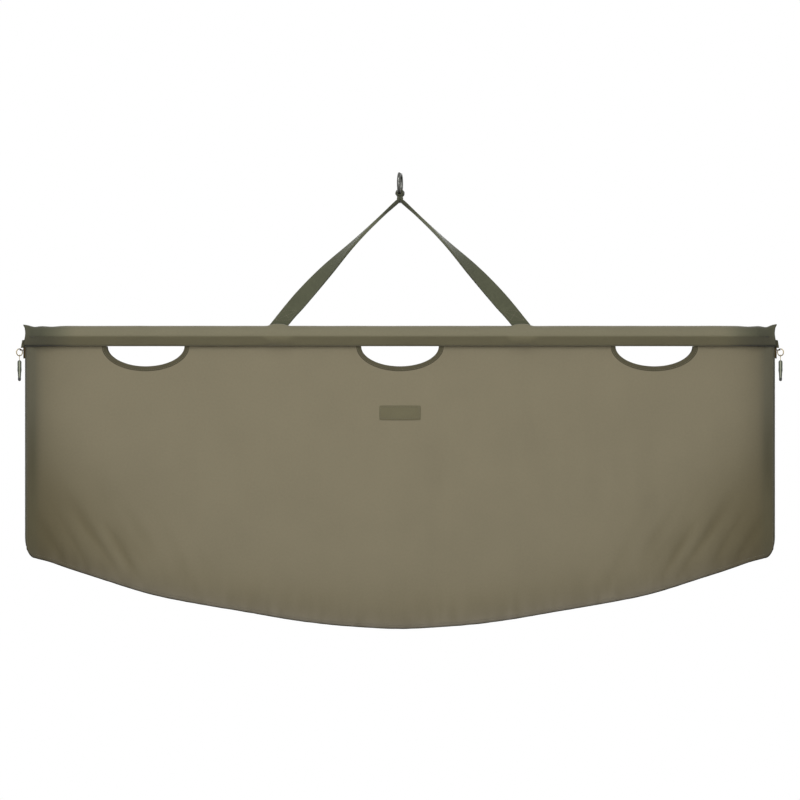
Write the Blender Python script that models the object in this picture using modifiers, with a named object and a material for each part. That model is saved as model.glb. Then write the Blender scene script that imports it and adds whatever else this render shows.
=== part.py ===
"""A fish weigh sling, closed and hanging by its ring.

+X runs along the sling, -Y is its front and +Z is up. The origin is the hang point, inside the
top of the ring. Front pieces and rear pieces mirror each other across Y = 0, left and right ones
across X = 0.
"""

import math

import bmesh
import bpy
from mathutils import Matrix, Vector

MM = 0.001

# Overall sizes
SLING_LENGTH = 1200 * MM
HANG_TO_POLE = 257.7 * MM
PANEL_DROP = 450 * MM
CORNER_RISE = 113.6 * MM
BOTTOM_CURVE_POWER = 1.8
CORNER_RADIUS = 15 * MM
CORNER_DEPTH = 4.5 * MM
CORNER_EASE_SHARE = 0.85

# Fits
TOUCH_GAP = 0.3 * MM
CUT_OVERRUN = 4 * MM
MERGE_DISTANCE = 0.01 * MM

# Ring and the webbing loop on it
RING_INNER_DIAMETER = 27 * MM
RING_WIRE_DIAMETER = 5.5 * MM
RING_TURN = math.radians(-8)
LOOP_WIDTH = 16 * MM
LOOP_CLEARANCE = 0.4 * MM
TONGUE_THICKNESS = 2.4 * MM
TONGUE_LENGTH = 7.7 * MM

# Straps
WEBBING_WIDTH = 25 * MM
WEBBING_THICKNESS = 1.8 * MM
SEWN_WIDTH = 12 * MM
SEWN_FROM_MIDDLE = 1 * MM
SEWN_TOP_BELOW_LOOP = 3.2 * MM
SEWN_LENGTH = 3.4 * MM
SEWN_TOP_SLANT = 3.3 * MM
STRAP_BOW = 7.8 * MM
STRAP_FOOT_X = 196.5 * MM
FOOT_FOLD_LENGTH = 30 * MM
TWIST_START_SHARE = 0.08
TWIST_END_SHARE = 0.91
OPEN_OUT_START_SHARE = 0.13
OPEN_OUT_END_SHARE = 0.54
FOOT_SQUARE_START_SHARE = 0.78
FOOT_SQUARE_END_SHARE = 0.94
STRAP_ROWS = 26

# Poles and sleeves
POLE_DIAMETER = 25 * MM
POLE_WALL = 1.5 * MM
PLUG_HEAD = 4 * MM
PLUG_STEM = 18 * MM
PLUG_BORE_DIAMETER = 14 * MM
PLUG_CHAMFER = 1.5 * MM
SLEEVE_DIAMETER = 32 * MM
SLEEVE_WALL = 1 * MM
SLEEVE_END_HEIGHT = 34 * MM
SLEEVE_END_DEPTH = 16 * MM
SLEEVE_PAST_POLE = 36 * MM
SLEEVES_APART = 0.4 * MM
SLOT_SIDE_CLEARANCE = 1.5 * MM
SLOT_FRONT_CLEARANCE = 0.4 * MM
SLOT_SWING = math.radians(47)

# Panels, hand holes and label
PANEL_THICKNESS = 1 * MM
FOLD_DEPTH = 2 * MM
FOLD_SPACING = 172 * MM
BOTTOM_SEAM_THICKNESS = 1.4 * MM
BOTTOM_SEAM_WIDTH = 12 * MM
BOTTOM_SEAM_SHOWS = 1.5 * MM
CORNER_SEAM_TURN = math.radians(60)
HAND_HOLE_WIDTH = 124 * MM
HAND_HOLE_DEPTH = 32 * MM
OUTER_HAND_HOLE_FROM_END = 194 * MM
BINDING_WIDTH = 8 * MM
BINDING_THICKNESS = 2.4 * MM
LABEL_WIDTH = 66 * MM
LABEL_HEIGHT = 23 * MM
LABEL_THICKNESS = 1 * MM
LABEL_BELOW_SEAM = 106.5 * MM

# Zips
TAPE_WIDTH = 15.5 * MM
TAPE_THICKNESS = 0.8 * MM
TAPE_FROM_COIL = 0.6 * MM
COIL_WIDTH = 2.6 * MM
COIL_THICKNESS = 2.4 * MM
COILS_APART = 0.4 * MM
STOP_HEIGHT = 4 * MM
STOP_WIDTH = 5.4 * MM
SLIDER_LENGTH = 18.5 * MM
SLIDER_WIDTH = 9 * MM
SLIDER_PLATE = 1.4 * MM
SLIDER_CLEARANCE = 0.4 * MM
SLIDER_EDGE_BEVEL = 0.4 * MM
WEDGE_LENGTH = 6 * MM
WEDGE_WIDTH = 3 * MM
BAIL_WIRE_DIAMETER = 1.6 * MM
BAIL_REACH = 6 * MM
BAIL_WIDTH = 7 * MM
BAIL_BELOW_TOP = 5 * MM
PULL_RING_DIAMETER = 12.6 * MM
PULL_RING_WIRE_DIAMETER = 1.6 * MM
PULL_RING_FROM_SLIDER = 6.9 * MM
PULL_RING_BELOW_BAIL = 3.6 * MM
PULL_EYE_DIAMETER = 3.8 * MM
PULL_EYE_WIRE_DIAMETER = 1 * MM
PULL_NECK_LENGTH = 7.5 * MM
PULL_TAB_LENGTH = 33 * MM
PULL_TAB_TOP_WIDTH = 6.5 * MM
PULL_TAB_TIP_WIDTH = 3.5 * MM
PULL_TAB_THICKNESS = 3 * MM
PULL_TAB_BEVEL = 0.8 * MM

# Steps round curved shapes
RING_STEPS = 32
RING_WIRE_STEPS = 12
LOOP_STEPS = 28
BAND_STEPS = 24
POLE_STEPS = 28
PLUG_STEPS = 20
SLEEVE_STEPS = 24
SLEEVE_COLUMNS = 12
SLEEVE_END_COLUMNS = 8
PANEL_COLUMNS = 36
PANEL_ROWS = 10
HAND_HOLE_STEPS = 40
BINDING_STEPS = 22
TAPE_STEPS = 6
TAPE_ROWS = 8
SEAM_COLUMNS = 40
CORNER_STEPS = 5
BAIL_STEPS = 8
PULL_RING_STEPS = 24
PULL_EYE_STEPS = 16
FINE_WIRE_STEPS = 8

# Worked out from the sizes above
ring_radius = (RING_INNER_DIAMETER + RING_WIRE_DIAMETER) / 2
bar_z = -(RING_INNER_DIAMETER / 2 + ring_radius)
loop_hole_radius = ring_radius + LOOP_CLEARANCE - math.sqrt(RING_INNER_DIAMETER**2 - LOOP_WIDTH**2) / 2
loop_outer_radius = loop_hole_radius + WEBBING_THICKNESS
neck_z = bar_z - loop_outer_radius
bridle_z = neck_z - SEWN_TOP_BELOW_LOOP
sewn_end_z = bridle_z - SEWN_LENGTH
sewn_x = TONGUE_THICKNESS / 2 + TOUCH_GAP + WEBBING_THICKNESS
sewn_depth = SEWN_FROM_MIDDLE + SEWN_WIDTH / 2

pole_z = -HANG_TO_POLE
pole_depth = (SLEEVE_DIAMETER + SLEEVES_APART) / 2
sling_half = SLING_LENGTH / 2
pole_end_x = sling_half - SLEEVE_PAST_POLE
pole_half = pole_end_x - PLUG_HEAD
outer_hand_hole_x = sling_half - OUTER_HAND_HOLE_FROM_END
seam_z = pole_z - SLEEVE_DIAMETER / 2
band_inner_radius = POLE_DIAMETER / 2 + TOUCH_GAP
band_outer_radius = band_inner_radius + WEBBING_THICKNESS
foot_z = pole_z + (band_inner_radius + band_outer_radius) / 2
foot_slope = (STRAP_FOOT_X - sewn_x - 4 * STRAP_BOW) / (sewn_end_z - foot_z)
foot_half_width = WEBBING_WIDTH / 2 * math.hypot(1, foot_slope)
slot_x = STRAP_FOOT_X - foot_slope * (pole_z + SLEEVE_DIAMETER / 2 - foot_z)

grip_top_z = seam_z - TOUCH_GAP
bottom_z = seam_z - PANEL_DROP
keel_depth = BOTTOM_SEAM_THICKNESS / 2 + TOUCH_GAP + PANEL_THICKNESS / 2
coil_outer_x = sling_half - TOUCH_GAP
coil_middle_x = coil_outer_x - COIL_THICKNESS / 2
panel_half = coil_middle_x - TAPE_WIDTH
tape_inner_x = panel_half + TOUCH_GAP
tape_start_depth = COILS_APART / 2 + COIL_WIDTH + TAPE_FROM_COIL
corner_centre_z = bottom_z + CORNER_RISE + CORNER_RADIUS
zip_top_z = pole_z - SLEEVE_END_HEIGHT / 2 - TOUCH_GAP
coil_top_z = zip_top_z - WEDGE_LENGTH
coil_bottom_z = corner_centre_z
slider_z = zip_top_z - SLIDER_LENGTH / 2
bail_z = zip_top_z - BAIL_BELOW_TOP
plate_outer_x = coil_outer_x + SLIDER_CLEARANCE + SLIDER_PLATE
pull_ring_radius = (PULL_RING_DIAMETER - PULL_RING_WIRE_DIAMETER) / 2
pull_ring_x = plate_outer_x + PULL_RING_FROM_SLIDER
pull_ring_z = bail_z - PULL_RING_BELOW_BAIL
pull_hook_x = pull_ring_x - math.sqrt(pull_ring_radius**2 - PULL_RING_BELOW_BAIL**2)
pull_eye_z = pull_ring_z - pull_ring_radius

FINISHES = {
    "olive_cloth": ((0.212, 0.185, 0.117), 0.9, 0.0),
    "sleeve_cloth": ((0.170, 0.160, 0.100), 0.9, 0.0),
    "binding_tape": ((0.076, 0.071, 0.042), 0.95, 0.0),
    "webbing": ((0.085, 0.091, 0.053), 0.9, 0.0),
    "zip_tape": ((0.120, 0.115, 0.070), 0.9, 0.0),
    "zip_coil": ((0.050, 0.050, 0.035), 0.5, 0.0),
    "bronze": ((0.060, 0.050, 0.030), 0.4, 1.0),
    "gunmetal": ((0.110, 0.110, 0.105), 0.3, 1.0),
    "pole_metal": ((0.35, 0.35, 0.36), 0.35, 1.0),
    "black_plastic": ((0.020, 0.020, 0.020), 0.5, 0.0),
    "pull_rubber": ((0.075, 0.080, 0.050), 0.6, 0.0),
    "label": ((0.100, 0.092, 0.060), 0.8, 0.0),
}


def mix(start, end, share):
    return start + (end - start) * share


def smooth(share):
    share = min(max(share, 0.0), 1.0)
    return share * share * (3 - 2 * share)


def smooth_between(value, start, end):
    return smooth((value - start) / (end - start))


for old in list(bpy.data.objects):
    bpy.data.objects.remove(old, do_unlink=True)
parts = bpy.data.collections.new("weigh_sling")
cutters = bpy.data.collections.new("cutters")
bpy.context.scene.collection.children.link(parts)
bpy.context.scene.collection.children.link(cutters)


def pivot(name, location):
    """An empty on a joint's axis, which carries the pieces that move with it."""
    empty = bpy.data.objects.new(name, None)
    empty.location = location
    parts.objects.link(empty)
    return empty


def finish_piece(piece, name, finish, body):
    """Names a part, gives it its own material and hangs it on its body's empty."""
    piece.name = name
    colour, roughness, metallic = FINISHES[finish]
    material = bpy.data.materials.new(name + "_" + finish)
    material.use_nodes = True
    shader = material.node_tree.nodes["Principled BSDF"]
    shader.inputs["Base Color"].default_value = (*colour, 1.0)
    shader.inputs["Roughness"].default_value = roughness
    shader.inputs["Metallic"].default_value = metallic
    piece.data.materials.clear()
    piece.data.materials.append(material)
    piece.parent = body
    piece.matrix_parent_inverse = Matrix.Translation(-body.location)
    return piece


def as_cutter(piece):
    parts.objects.unlink(piece)
    cutters.objects.link(piece)
    piece.hide_render = True
    piece.display_type = "WIRE"
    return piece


def combine(piece, other, operation):
    boolean = piece.modifiers.new(operation.lower(), "BOOLEAN")
    boolean.operation = operation
    boolean.solver = "EXACT"
    boolean.object = as_cutter(other)
    return piece


def object_from(mesh_builder, name):
    mesh = bpy.data.meshes.new(name)
    mesh_builder.to_mesh(mesh)
    mesh_builder.free()
    piece = bpy.data.objects.new(name, mesh)
    parts.objects.link(piece)
    return piece


def block(name, size, centre, bevel=0):
    shape = bmesh.new()
    bmesh.ops.create_cube(shape, size=1)
    bmesh.ops.scale(shape, vec=size, verts=shape.verts)
    piece = object_from(shape, name)
    piece.location = centre
    if bevel:
        edge = piece.modifiers.new("edges", "BEVEL")
        edge.width = bevel
        edge.segments = 1
    return piece


def torus(name, radius, wire_radius, centre, rotation, around, across):
    bpy.ops.mesh.primitive_torus_add(
        major_radius=radius, minor_radius=wire_radius, major_segments=around,
        minor_segments=across, location=centre, rotation=rotation)
    piece = bpy.context.object
    piece.name = name
    for collection in list(piece.users_collection):
        collection.objects.unlink(piece)
    parts.objects.link(piece)
    piece.data.shade_smooth()
    return piece


def turned(name, profile, steps, closed):
    """A profile of (radius, height) points spun about X, height running along +X."""
    shape = bmesh.new()
    corners = [shape.verts.new((radius, 0, height)) for radius, height in profile]
    for first, second in zip(corners, corners[1:]):
        shape.edges.new((first, second))
    if closed:
        shape.edges.new((corners[-1], corners[0]))
    piece = object_from(shape, name)
    piece.rotation_euler = (0, math.pi / 2, 0)
    screw = piece.modifiers.new("turn", "SCREW")
    screw.steps = steps
    screw.render_steps = steps
    screw.use_merge_vertices = True
    screw.merge_threshold = MERGE_DISTANCE
    screw.use_smooth_shade = True
    return piece


def as_mesh(curve_object):
    """The mesh of a curve object, with its caps welded on."""
    bpy.context.view_layer.update()
    graph = bpy.context.evaluated_depsgraph_get()
    mesh = bpy.data.meshes.new_from_object(curve_object.evaluated_get(graph))
    shape = bmesh.new()
    shape.from_mesh(mesh)
    bmesh.ops.remove_doubles(shape, verts=shape.verts, dist=MERGE_DISTANCE)
    bmesh.ops.recalc_face_normals(shape, faces=shape.faces)
    shape.to_mesh(mesh)
    shape.free()
    piece = bpy.data.objects.new(curve_object.name, mesh)
    piece.matrix_world = curve_object.matrix_world
    parts.objects.link(piece)
    bpy.data.objects.remove(curve_object)
    return piece


def plate(name, outlines, thickness, centre, rotation):
    """Flat closed outlines, the later ones holes in the first, filled and given a thickness."""
    data = bpy.data.curves.new(name, "CURVE")
    data.dimensions = "2D"
    data.fill_mode = "BOTH"
    data.extrude = thickness / 2
    for outline in outlines:
        spline = data.splines.new("POLY")
        spline.points.add(len(outline) - 1)
        for point, (across, up) in zip(spline.points, outline):
            point.co = (across, up, 0, 1)
        spline.use_cyclic_u = True
    piece = bpy.data.objects.new(name, data)
    piece.location = centre
    piece.rotation_euler = rotation
    parts.objects.link(piece)
    return as_mesh(piece)


def wire(name, points, diameter):
    data = bpy.data.curves.new(name, "CURVE")
    data.dimensions = "3D"
    data.bevel_depth = diameter / 2
    data.bevel_resolution = 1
    data.use_fill_caps = True
    spline = data.splines.new("POLY")
    spline.points.add(len(points) - 1)
    for point, place in zip(spline.points, points):
        point.co = (*place, 1)
    piece = bpy.data.objects.new(name, data)
    parts.objects.link(piece)
    return as_mesh(piece)


def sheet(name, columns, rows, place, thickness):
    """A flat grid bent to shape: place(across, down) gives the point for two shares from 0 to 1."""
    shape = bmesh.new()
    bmesh.ops.create_grid(shape, x_segments=columns, y_segments=rows, size=1)
    for corner in shape.verts:
        corner.co = place((corner.co.x + 1) / 2, (corner.co.y + 1) / 2)
    bmesh.ops.remove_doubles(shape, verts=shape.verts, dist=MERGE_DISTANCE)
    piece = object_from(shape, name)
    piece.data.shade_smooth()
    wall = piece.modifiers.new("thickness", "SOLIDIFY")
    wall.thickness = thickness
    wall.offset = 0
    return piece


def sleeve_section(x):
    """Height and depth of the sleeve's outside at x: round over the pole, pressed flat past its end."""
    share = smooth_between(abs(x), pole_end_x, sling_half)
    return mix(SLEEVE_DIAMETER, SLEEVE_END_HEIGHT, share), mix(SLEEVE_DIAMETER, SLEEVE_END_DEPTH, share)


def sleeve_depth(x):
    return (sleeve_section(x)[1] + SLEEVES_APART) / 2


def panel_top(x):
    return pole_z - sleeve_section(x)[0] / 2 - TOUCH_GAP


def panel_bottom(x):
    return bottom_z + CORNER_RISE * (abs(x) / panel_half) ** BOTTOM_CURVE_POWER


def panel_depth(x, z):
    """How far the panel's cloth lies from the middle plane, with its hanging folds."""
    across = min(abs(x), panel_half)
    down = (panel_top(across) - z) / (panel_top(across) - panel_bottom(across))
    down = min(max(down, 0.0), 1.0)
    fold = FOLD_DEPTH * math.sin(math.pi * down) * math.cos(math.tau * x / FOLD_SPACING)
    fold *= 1 - smooth(abs(x) / panel_half)
    lowest = mix(keel_depth, CORNER_DEPTH, smooth_between(across / panel_half, CORNER_EASE_SHARE, 1))
    return mix(sleeve_depth(x), lowest, down) + fold


def corner_edge(x):
    """Lower edge of the rounded bottom corner, beside the panel."""
    across = min(max(abs(x) - panel_half, 0.0), CORNER_RADIUS)
    return corner_centre_z - math.sqrt(CORNER_RADIUS**2 - across**2)


def hang_ring(body):
    ring = torus("hang_ring", ring_radius, RING_WIRE_DIAMETER / 2, (0, 0, -RING_INNER_DIAMETER / 2),
                 (0, math.pi / 2, RING_TURN), RING_STEPS, RING_WIRE_STEPS)
    finish_piece(ring, "hang_ring", "gunmetal", body)


def ring_loop(body):
    """Webbing folded round the ring's lowest bar and pressed together into a tongue below it."""
    half = TONGUE_THICKNESS / 2
    start = math.asin(half / loop_outer_radius)
    turns = [mix(start, math.tau - start, step / LOOP_STEPS) for step in range(LOOP_STEPS + 1)]
    outside = [(loop_outer_radius * math.sin(turn), -loop_outer_radius * math.cos(turn)) for turn in turns]
    tongue_end = -loop_outer_radius - TONGUE_LENGTH
    outside += [(-half, tongue_end), (half, tongue_end)]
    turns = [math.tau * step / LOOP_STEPS for step in range(LOOP_STEPS)]
    hole = [(loop_hole_radius * math.sin(turn), loop_hole_radius * math.cos(turn)) for turn in turns]
    loop = plate("ring_loop", [outside, hole], LOOP_WIDTH, (0, 0, bar_z), (math.pi / 2, 0, 0))
    finish_piece(loop, "ring_loop", "webbing", body)


def strap_row(down):
    """Centre, half width vector and number of webbing layers of a front right strap, down its length."""
    z = mix(sewn_end_z, foot_z, down)
    x = mix(sewn_x, STRAP_FOOT_X, down) + 4 * STRAP_BOW * down * (1 - down)
    centre = Vector((x, -mix(sewn_depth, pole_depth, down), z))
    slope = (STRAP_FOOT_X - sewn_x + 4 * STRAP_BOW * (1 - 2 * down)) / (sewn_end_z - foot_z)
    twist = math.pi / 2 * smooth_between(down, TWIST_START_SHARE, TWIST_END_SHARE)
    inward = Vector((-1, 0, -slope)) / math.hypot(1, slope)
    level = Vector((-math.hypot(1, slope), 0, 0))
    inward = inward.lerp(level, smooth_between(down, FOOT_SQUARE_START_SHARE, FOOT_SQUARE_END_SHARE))
    opened = smooth_between(down, OPEN_OUT_START_SHARE, OPEN_OUT_END_SHARE)
    half = mix(SEWN_WIDTH, WEBBING_WIDTH, opened) / 2
    across = half * (Vector((0, -math.cos(twist), 0)) + inward * math.sin(twist))
    return centre, across, 2 - opened


def strap(name, side, end, body):
    """side is -1 for the front and 1 for the rear, end is -1 for the left and 1 for the right."""
    mirror = Vector((end, -side, 1))
    layers = []

    def place(across, down):
        row = round(down * STRAP_ROWS)
        if row == 0:
            centre = Vector((sewn_x, -sewn_depth, bridle_z - SEWN_TOP_SLANT / 2))
            width = Vector((0, -SEWN_WIDTH, -SEWN_TOP_SLANT)) / 2
            layer = 2
        else:
            centre, width, layer = strap_row((row - 1) / (STRAP_ROWS - 1))
        if foot_z - centre.z > -FOOT_FOLD_LENGTH:
            layer = 2
        layers.append(layer / 2)
        return (centre + width * (2 * across - 1)) * mirror

    piece = sheet(name, 2, STRAP_ROWS, place, 2 * WEBBING_THICKNESS)
    group = piece.vertex_groups.new(name="layers")
    for index, layer in enumerate(layers):
        group.add([index], layer, "REPLACE")
    piece.modifiers["thickness"].vertex_group = group.name
    band_profile = [(band_outer_radius, foot_half_width), (band_outer_radius, -foot_half_width),
                    (band_inner_radius, -foot_half_width), (band_inner_radius, foot_half_width)]
    band = turned(name + "_band", band_profile, BAND_STEPS, closed=True)
    band.location = (end * STRAP_FOOT_X, side * pole_depth, pole_z)
    combine(piece, band, "UNION")
    finish_piece(piece, name, "webbing", body)


def pole(name, side, body):
    outer = POLE_DIAMETER / 2
    inner = outer - POLE_WALL
    profile = [(outer, pole_half), (outer, -pole_half), (inner, -pole_half), (inner, pole_half)]
    tube = turned(name, profile, POLE_STEPS, closed=True)
    tube.location = (0, side * pole_depth, pole_z)
    finish_piece(tube, name, "pole_metal", body)


def plug(name, side, end, body):
    """A flanged end plug, its stem pushed into the pole and its middle hollow from inside."""
    flange = POLE_DIAMETER / 2
    stem = flange - POLE_WALL - TOUCH_GAP
    bore = PLUG_BORE_DIAMETER / 2
    face = PLUG_HEAD
    profile = [(0, face), (flange - PLUG_CHAMFER, face), (flange, face - PLUG_CHAMFER), (flange, TOUCH_GAP),
               (stem, TOUCH_GAP), (stem, -PLUG_STEM), (bore, -PLUG_STEM), (bore, 0), (0, 0)]
    piece = turned(name, profile, PLUG_STEPS, closed=False)
    piece.rotation_euler = (0, end * math.pi / 2, 0)
    piece.location = (end * pole_half, side * pole_depth, pole_z)
    finish_piece(piece, name, "black_plastic", body)


def sleeve_cloth(name, side, start_x, end_x, columns):
    """A cloth tube from one place along the sling to another."""

    def place(along, around):
        x = mix(start_x, end_x, along)
        height, depth = sleeve_section(x)
        turn = math.tau * around
        return Vector((
            x,
            side * (sleeve_depth(x) + (depth - SLEEVE_WALL) / 2 * math.sin(turn)),
            pole_z - (height - SLEEVE_WALL) / 2 * math.cos(turn)))

    return sheet(name, columns, SLEEVE_STEPS, place, SLEEVE_WALL)


def sleeve(name, side, body):
    """The sleeve over the pole, with a slot at the top inner side for each strap to swing in."""
    piece = sleeve_cloth(name, side, -pole_end_x, pole_end_x, SLEEVE_COLUMNS)
    slot_front = WEBBING_THICKNESS + SLOT_FRONT_CLEARANCE
    slot_inside = SLEEVE_DIAMETER / 2 * math.sin(SLOT_SWING)
    slot_bottom = (SLEEVE_DIAMETER / 2 - SLEEVE_WALL) * math.cos(SLOT_SWING)
    slot_top = SLEEVE_DIAMETER / 2 + CUT_OVERRUN
    size = Vector((
        2 * (foot_half_width + SLOT_SIDE_CLEARANCE), slot_front + slot_inside, slot_top - slot_bottom))
    for end in (-1, 1):
        middle = Vector((
            end * slot_x,
            side * (pole_depth + (slot_front - slot_inside) / 2),
            pole_z + (slot_top + slot_bottom) / 2))
        combine(piece, block(f"{name}_slot_{end}", size, middle), "DIFFERENCE")
    finish_piece(piece, name, "sleeve_cloth", body)


def sleeve_end(name, side, end, body):
    """The open mouth of a sleeve past the pole's end, where the cloth is pressed flat."""
    piece = sleeve_cloth(name, side, end * (pole_end_x + TOUCH_GAP), end * sling_half, SLEEVE_END_COLUMNS)
    finish_piece(piece, name, "sleeve_cloth", body)


def hand_hole_places():
    return {"left": -outer_hand_hole_x, "middle": 0, "right": outer_hand_hole_x}


def panel(name, side, body):

    def place(along, down):
        x = mix(-panel_half, panel_half, along)
        z = mix(panel_top(x), panel_bottom(x), down)
        return Vector((x, side * panel_depth(x, z), z))

    piece = sheet(name, PANEL_COLUMNS, PANEL_ROWS, place, PANEL_THICKNESS)
    margin = BINDING_WIDTH + TOUCH_GAP
    for where, x in hand_hole_places().items():
        shape = bmesh.new()
        bmesh.ops.create_cone(
            shape, cap_ends=True, segments=HAND_HOLE_STEPS, radius1=1, radius2=1, depth=1)
        bmesh.ops.scale(
            shape, vec=(HAND_HOLE_WIDTH / 2 + margin, HAND_HOLE_DEPTH + margin, SLEEVE_DIAMETER),
            verts=shape.verts)
        cutter = object_from(shape, f"{name}_{where}_hand_hole")
        cutter.rotation_euler = (math.pi / 2, 0, 0)
        cutter.location = (x, side * pole_depth, grip_top_z)
        combine(piece, cutter, "DIFFERENCE")
    finish_piece(piece, name, "olive_cloth", body)


def binding(name, side, middle, body):
    """Tape sewn along the curved lower edge of a hand hole."""

    def place(along, out):
        turn = math.pi * along
        x = middle - (HAND_HOLE_WIDTH / 2 + BINDING_WIDTH * out) * math.cos(turn)
        z = grip_top_z - (HAND_HOLE_DEPTH + BINDING_WIDTH * out) * math.sin(turn)
        return Vector((x, side * panel_depth(x, z), z))

    piece = sheet(name, BINDING_STEPS, 1, place, BINDING_THICKNESS)
    finish_piece(piece, name, "binding_tape", body)


def label_patch(body):
    offset = PANEL_THICKNESS / 2 + TOUCH_GAP + LABEL_THICKNESS / 2

    def place(across, down):
        x = mix(-LABEL_WIDTH / 2, LABEL_WIDTH / 2, across)
        z = seam_z - LABEL_BELOW_SEAM - mix(-LABEL_HEIGHT / 2, LABEL_HEIGHT / 2, down)
        return Vector((x, -panel_depth(x, z) - offset, z))

    piece = sheet("label_patch", 8, 2, place, LABEL_THICKNESS)
    finish_piece(piece, "label_patch", "label", body)


def zip_tape(name, side, end, body):
    """From beside the coil the tape runs outwards, then turns back over the panel's edge."""

    def place(across, down):
        turn = math.pi / 2 * across
        x = mix(tape_inner_x, coil_middle_x, math.cos(turn))
        z = mix(zip_top_z, corner_edge(x), down)
        depth = mix(tape_start_depth, panel_depth(panel_half, z), math.sin(turn))
        return Vector((end * x, side * depth, z))

    piece = sheet(name, TAPE_STEPS, TAPE_ROWS, place, TAPE_THICKNESS)
    finish_piece(piece, name, "zip_tape", body)


def zip_coil(name, side, end, body):
    size = (COIL_THICKNESS, COIL_WIDTH, coil_top_z - coil_bottom_z)
    middle = (
        end * coil_middle_x, side * (COILS_APART + COIL_WIDTH) / 2, (coil_top_z + coil_bottom_z) / 2)
    finish_piece(block(name, size, middle), name, "zip_coil", body)


def bottom_seam(body):
    """The tape in the curved bottom seam, turned up round both corners, between the two panels."""
    inward = BOTTOM_SEAM_WIDTH - BOTTOM_SEAM_SHOWS

    def place(along, out):
        step = round(along * (SEAM_COLUMNS + 2 * CORNER_STEPS)) - CORNER_STEPS
        radial = mix(-inward, BOTTOM_SEAM_SHOWS, out)
        if 0 <= step <= SEAM_COLUMNS:
            x = mix(-panel_half, panel_half, step / SEAM_COLUMNS)
            return Vector((x, 0, panel_bottom(x) - radial))
        side = -1 if step < 0 else 1
        past = -step if step < 0 else step - SEAM_COLUMNS
        turn = CORNER_SEAM_TURN * past / CORNER_STEPS
        reach = CORNER_RADIUS + radial
        return Vector((
            side * (panel_half + reach * math.sin(turn)), 0, corner_centre_z - reach * math.cos(turn)))

    piece = sheet("bottom_seam", SEAM_COLUMNS + 2 * CORNER_STEPS, 1, place, BOTTOM_SEAM_THICKNESS)
    finish_piece(piece, "bottom_seam", "binding_tape", body)


def zip_stop(name, end, body):
    size = (COIL_THICKNESS, STOP_WIDTH, STOP_HEIGHT)
    middle = (end * coil_middle_x, 0, coil_bottom_z - TOUCH_GAP - STOP_HEIGHT / 2)
    finish_piece(block(name, size, middle, SLIDER_EDGE_BEVEL), name, "bronze", body)


def zip_slider(name, end, body):
    """Two plates either side of the coils, held by a wedge between the coil halves, with a bail outside."""
    plate_size = (SLIDER_PLATE, SLIDER_WIDTH, SLIDER_LENGTH)
    outer = end * (plate_outer_x - SLIDER_PLATE / 2)
    inner = end * (coil_outer_x - COIL_THICKNESS - SLIDER_CLEARANCE - SLIDER_PLATE / 2)
    piece = block(name, plate_size, (outer, 0, slider_z), SLIDER_EDGE_BEVEL)
    inside = block(name + "_inner_plate", plate_size, (inner, 0, slider_z), SLIDER_EDGE_BEVEL)
    combine(piece, inside, "UNION")
    half = WEDGE_WIDTH / 2
    tip = TOUCH_GAP / 2
    outline = [(-half, 0), (-tip, -WEDGE_LENGTH), (tip, -WEDGE_LENGTH), (half, 0)]
    wedge = plate(
        name + "_wedge", [outline], abs(outer - inner),
        ((outer + inner) / 2, 0, zip_top_z - SLIDER_EDGE_BEVEL), (math.pi / 2, 0, math.pi / 2))
    combine(piece, wedge, "UNION")
    reach = plate_outer_x + BAIL_REACH
    side = BAIL_WIDTH / 2
    points = [(outer, -side, bail_z)]
    for step in range(BAIL_STEPS + 1):
        turn = math.pi * (step / BAIL_STEPS - 0.5)
        bulge = reach - side / 2 * (1 - math.cos(turn))
        points.append((end * bulge, side * math.sin(turn), bail_z))
    points.append((outer, side, bail_z))
    combine(piece, wire(name + "_bail", points, BAIL_WIRE_DIAMETER), "UNION")
    finish_piece(piece, name, "bronze", body)


def pull_ring(name, end, body):
    ring = torus(
        name, pull_ring_radius, PULL_RING_WIRE_DIAMETER / 2, (end * pull_ring_x, 0, pull_ring_z),
        (math.pi / 2, 0, 0), PULL_RING_STEPS, FINE_WIRE_STEPS)
    finish_piece(ring, name, "bronze", body)


def pull_tab(name, end, body):
    """A tapered grip on a thin wire neck, whose eye hangs on the pull ring."""
    x = end * pull_ring_x
    tab_top = pull_eye_z - PULL_NECK_LENGTH
    top, tip = PULL_TAB_TOP_WIDTH / 2, PULL_TAB_TIP_WIDTH / 2
    outline = [(-top / 2, 0), (-top, -top), (-tip, -PULL_TAB_LENGTH + tip), (-tip / 2, -PULL_TAB_LENGTH),
               (tip / 2, -PULL_TAB_LENGTH), (tip, -PULL_TAB_LENGTH + tip), (top, -top), (top / 2, 0)]
    piece = plate(name, [outline], PULL_TAB_THICKNESS, (x, 0, tab_top), (math.pi / 2, 0, 0))
    edge = piece.modifiers.new("edges", "BEVEL")
    edge.width = PULL_TAB_BEVEL
    edge.segments = 1
    eye_radius = (PULL_EYE_DIAMETER - PULL_EYE_WIRE_DIAMETER) / 2
    eye = torus(
        name + "_eye", eye_radius, PULL_EYE_WIRE_DIAMETER / 2, (x, 0, pull_eye_z), (0, math.pi / 2, 0),
        PULL_EYE_STEPS, FINE_WIRE_STEPS)
    combine(piece, eye, "UNION")
    neck = [(x, 0, pull_eye_z - eye_radius), (x, 0, tab_top - PULL_TAB_THICKNESS)]
    combine(piece, wire(name + "_neck", neck, PULL_EYE_WIRE_DIAMETER), "UNION")
    finish_piece(piece, name, "pull_rubber", body)


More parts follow.
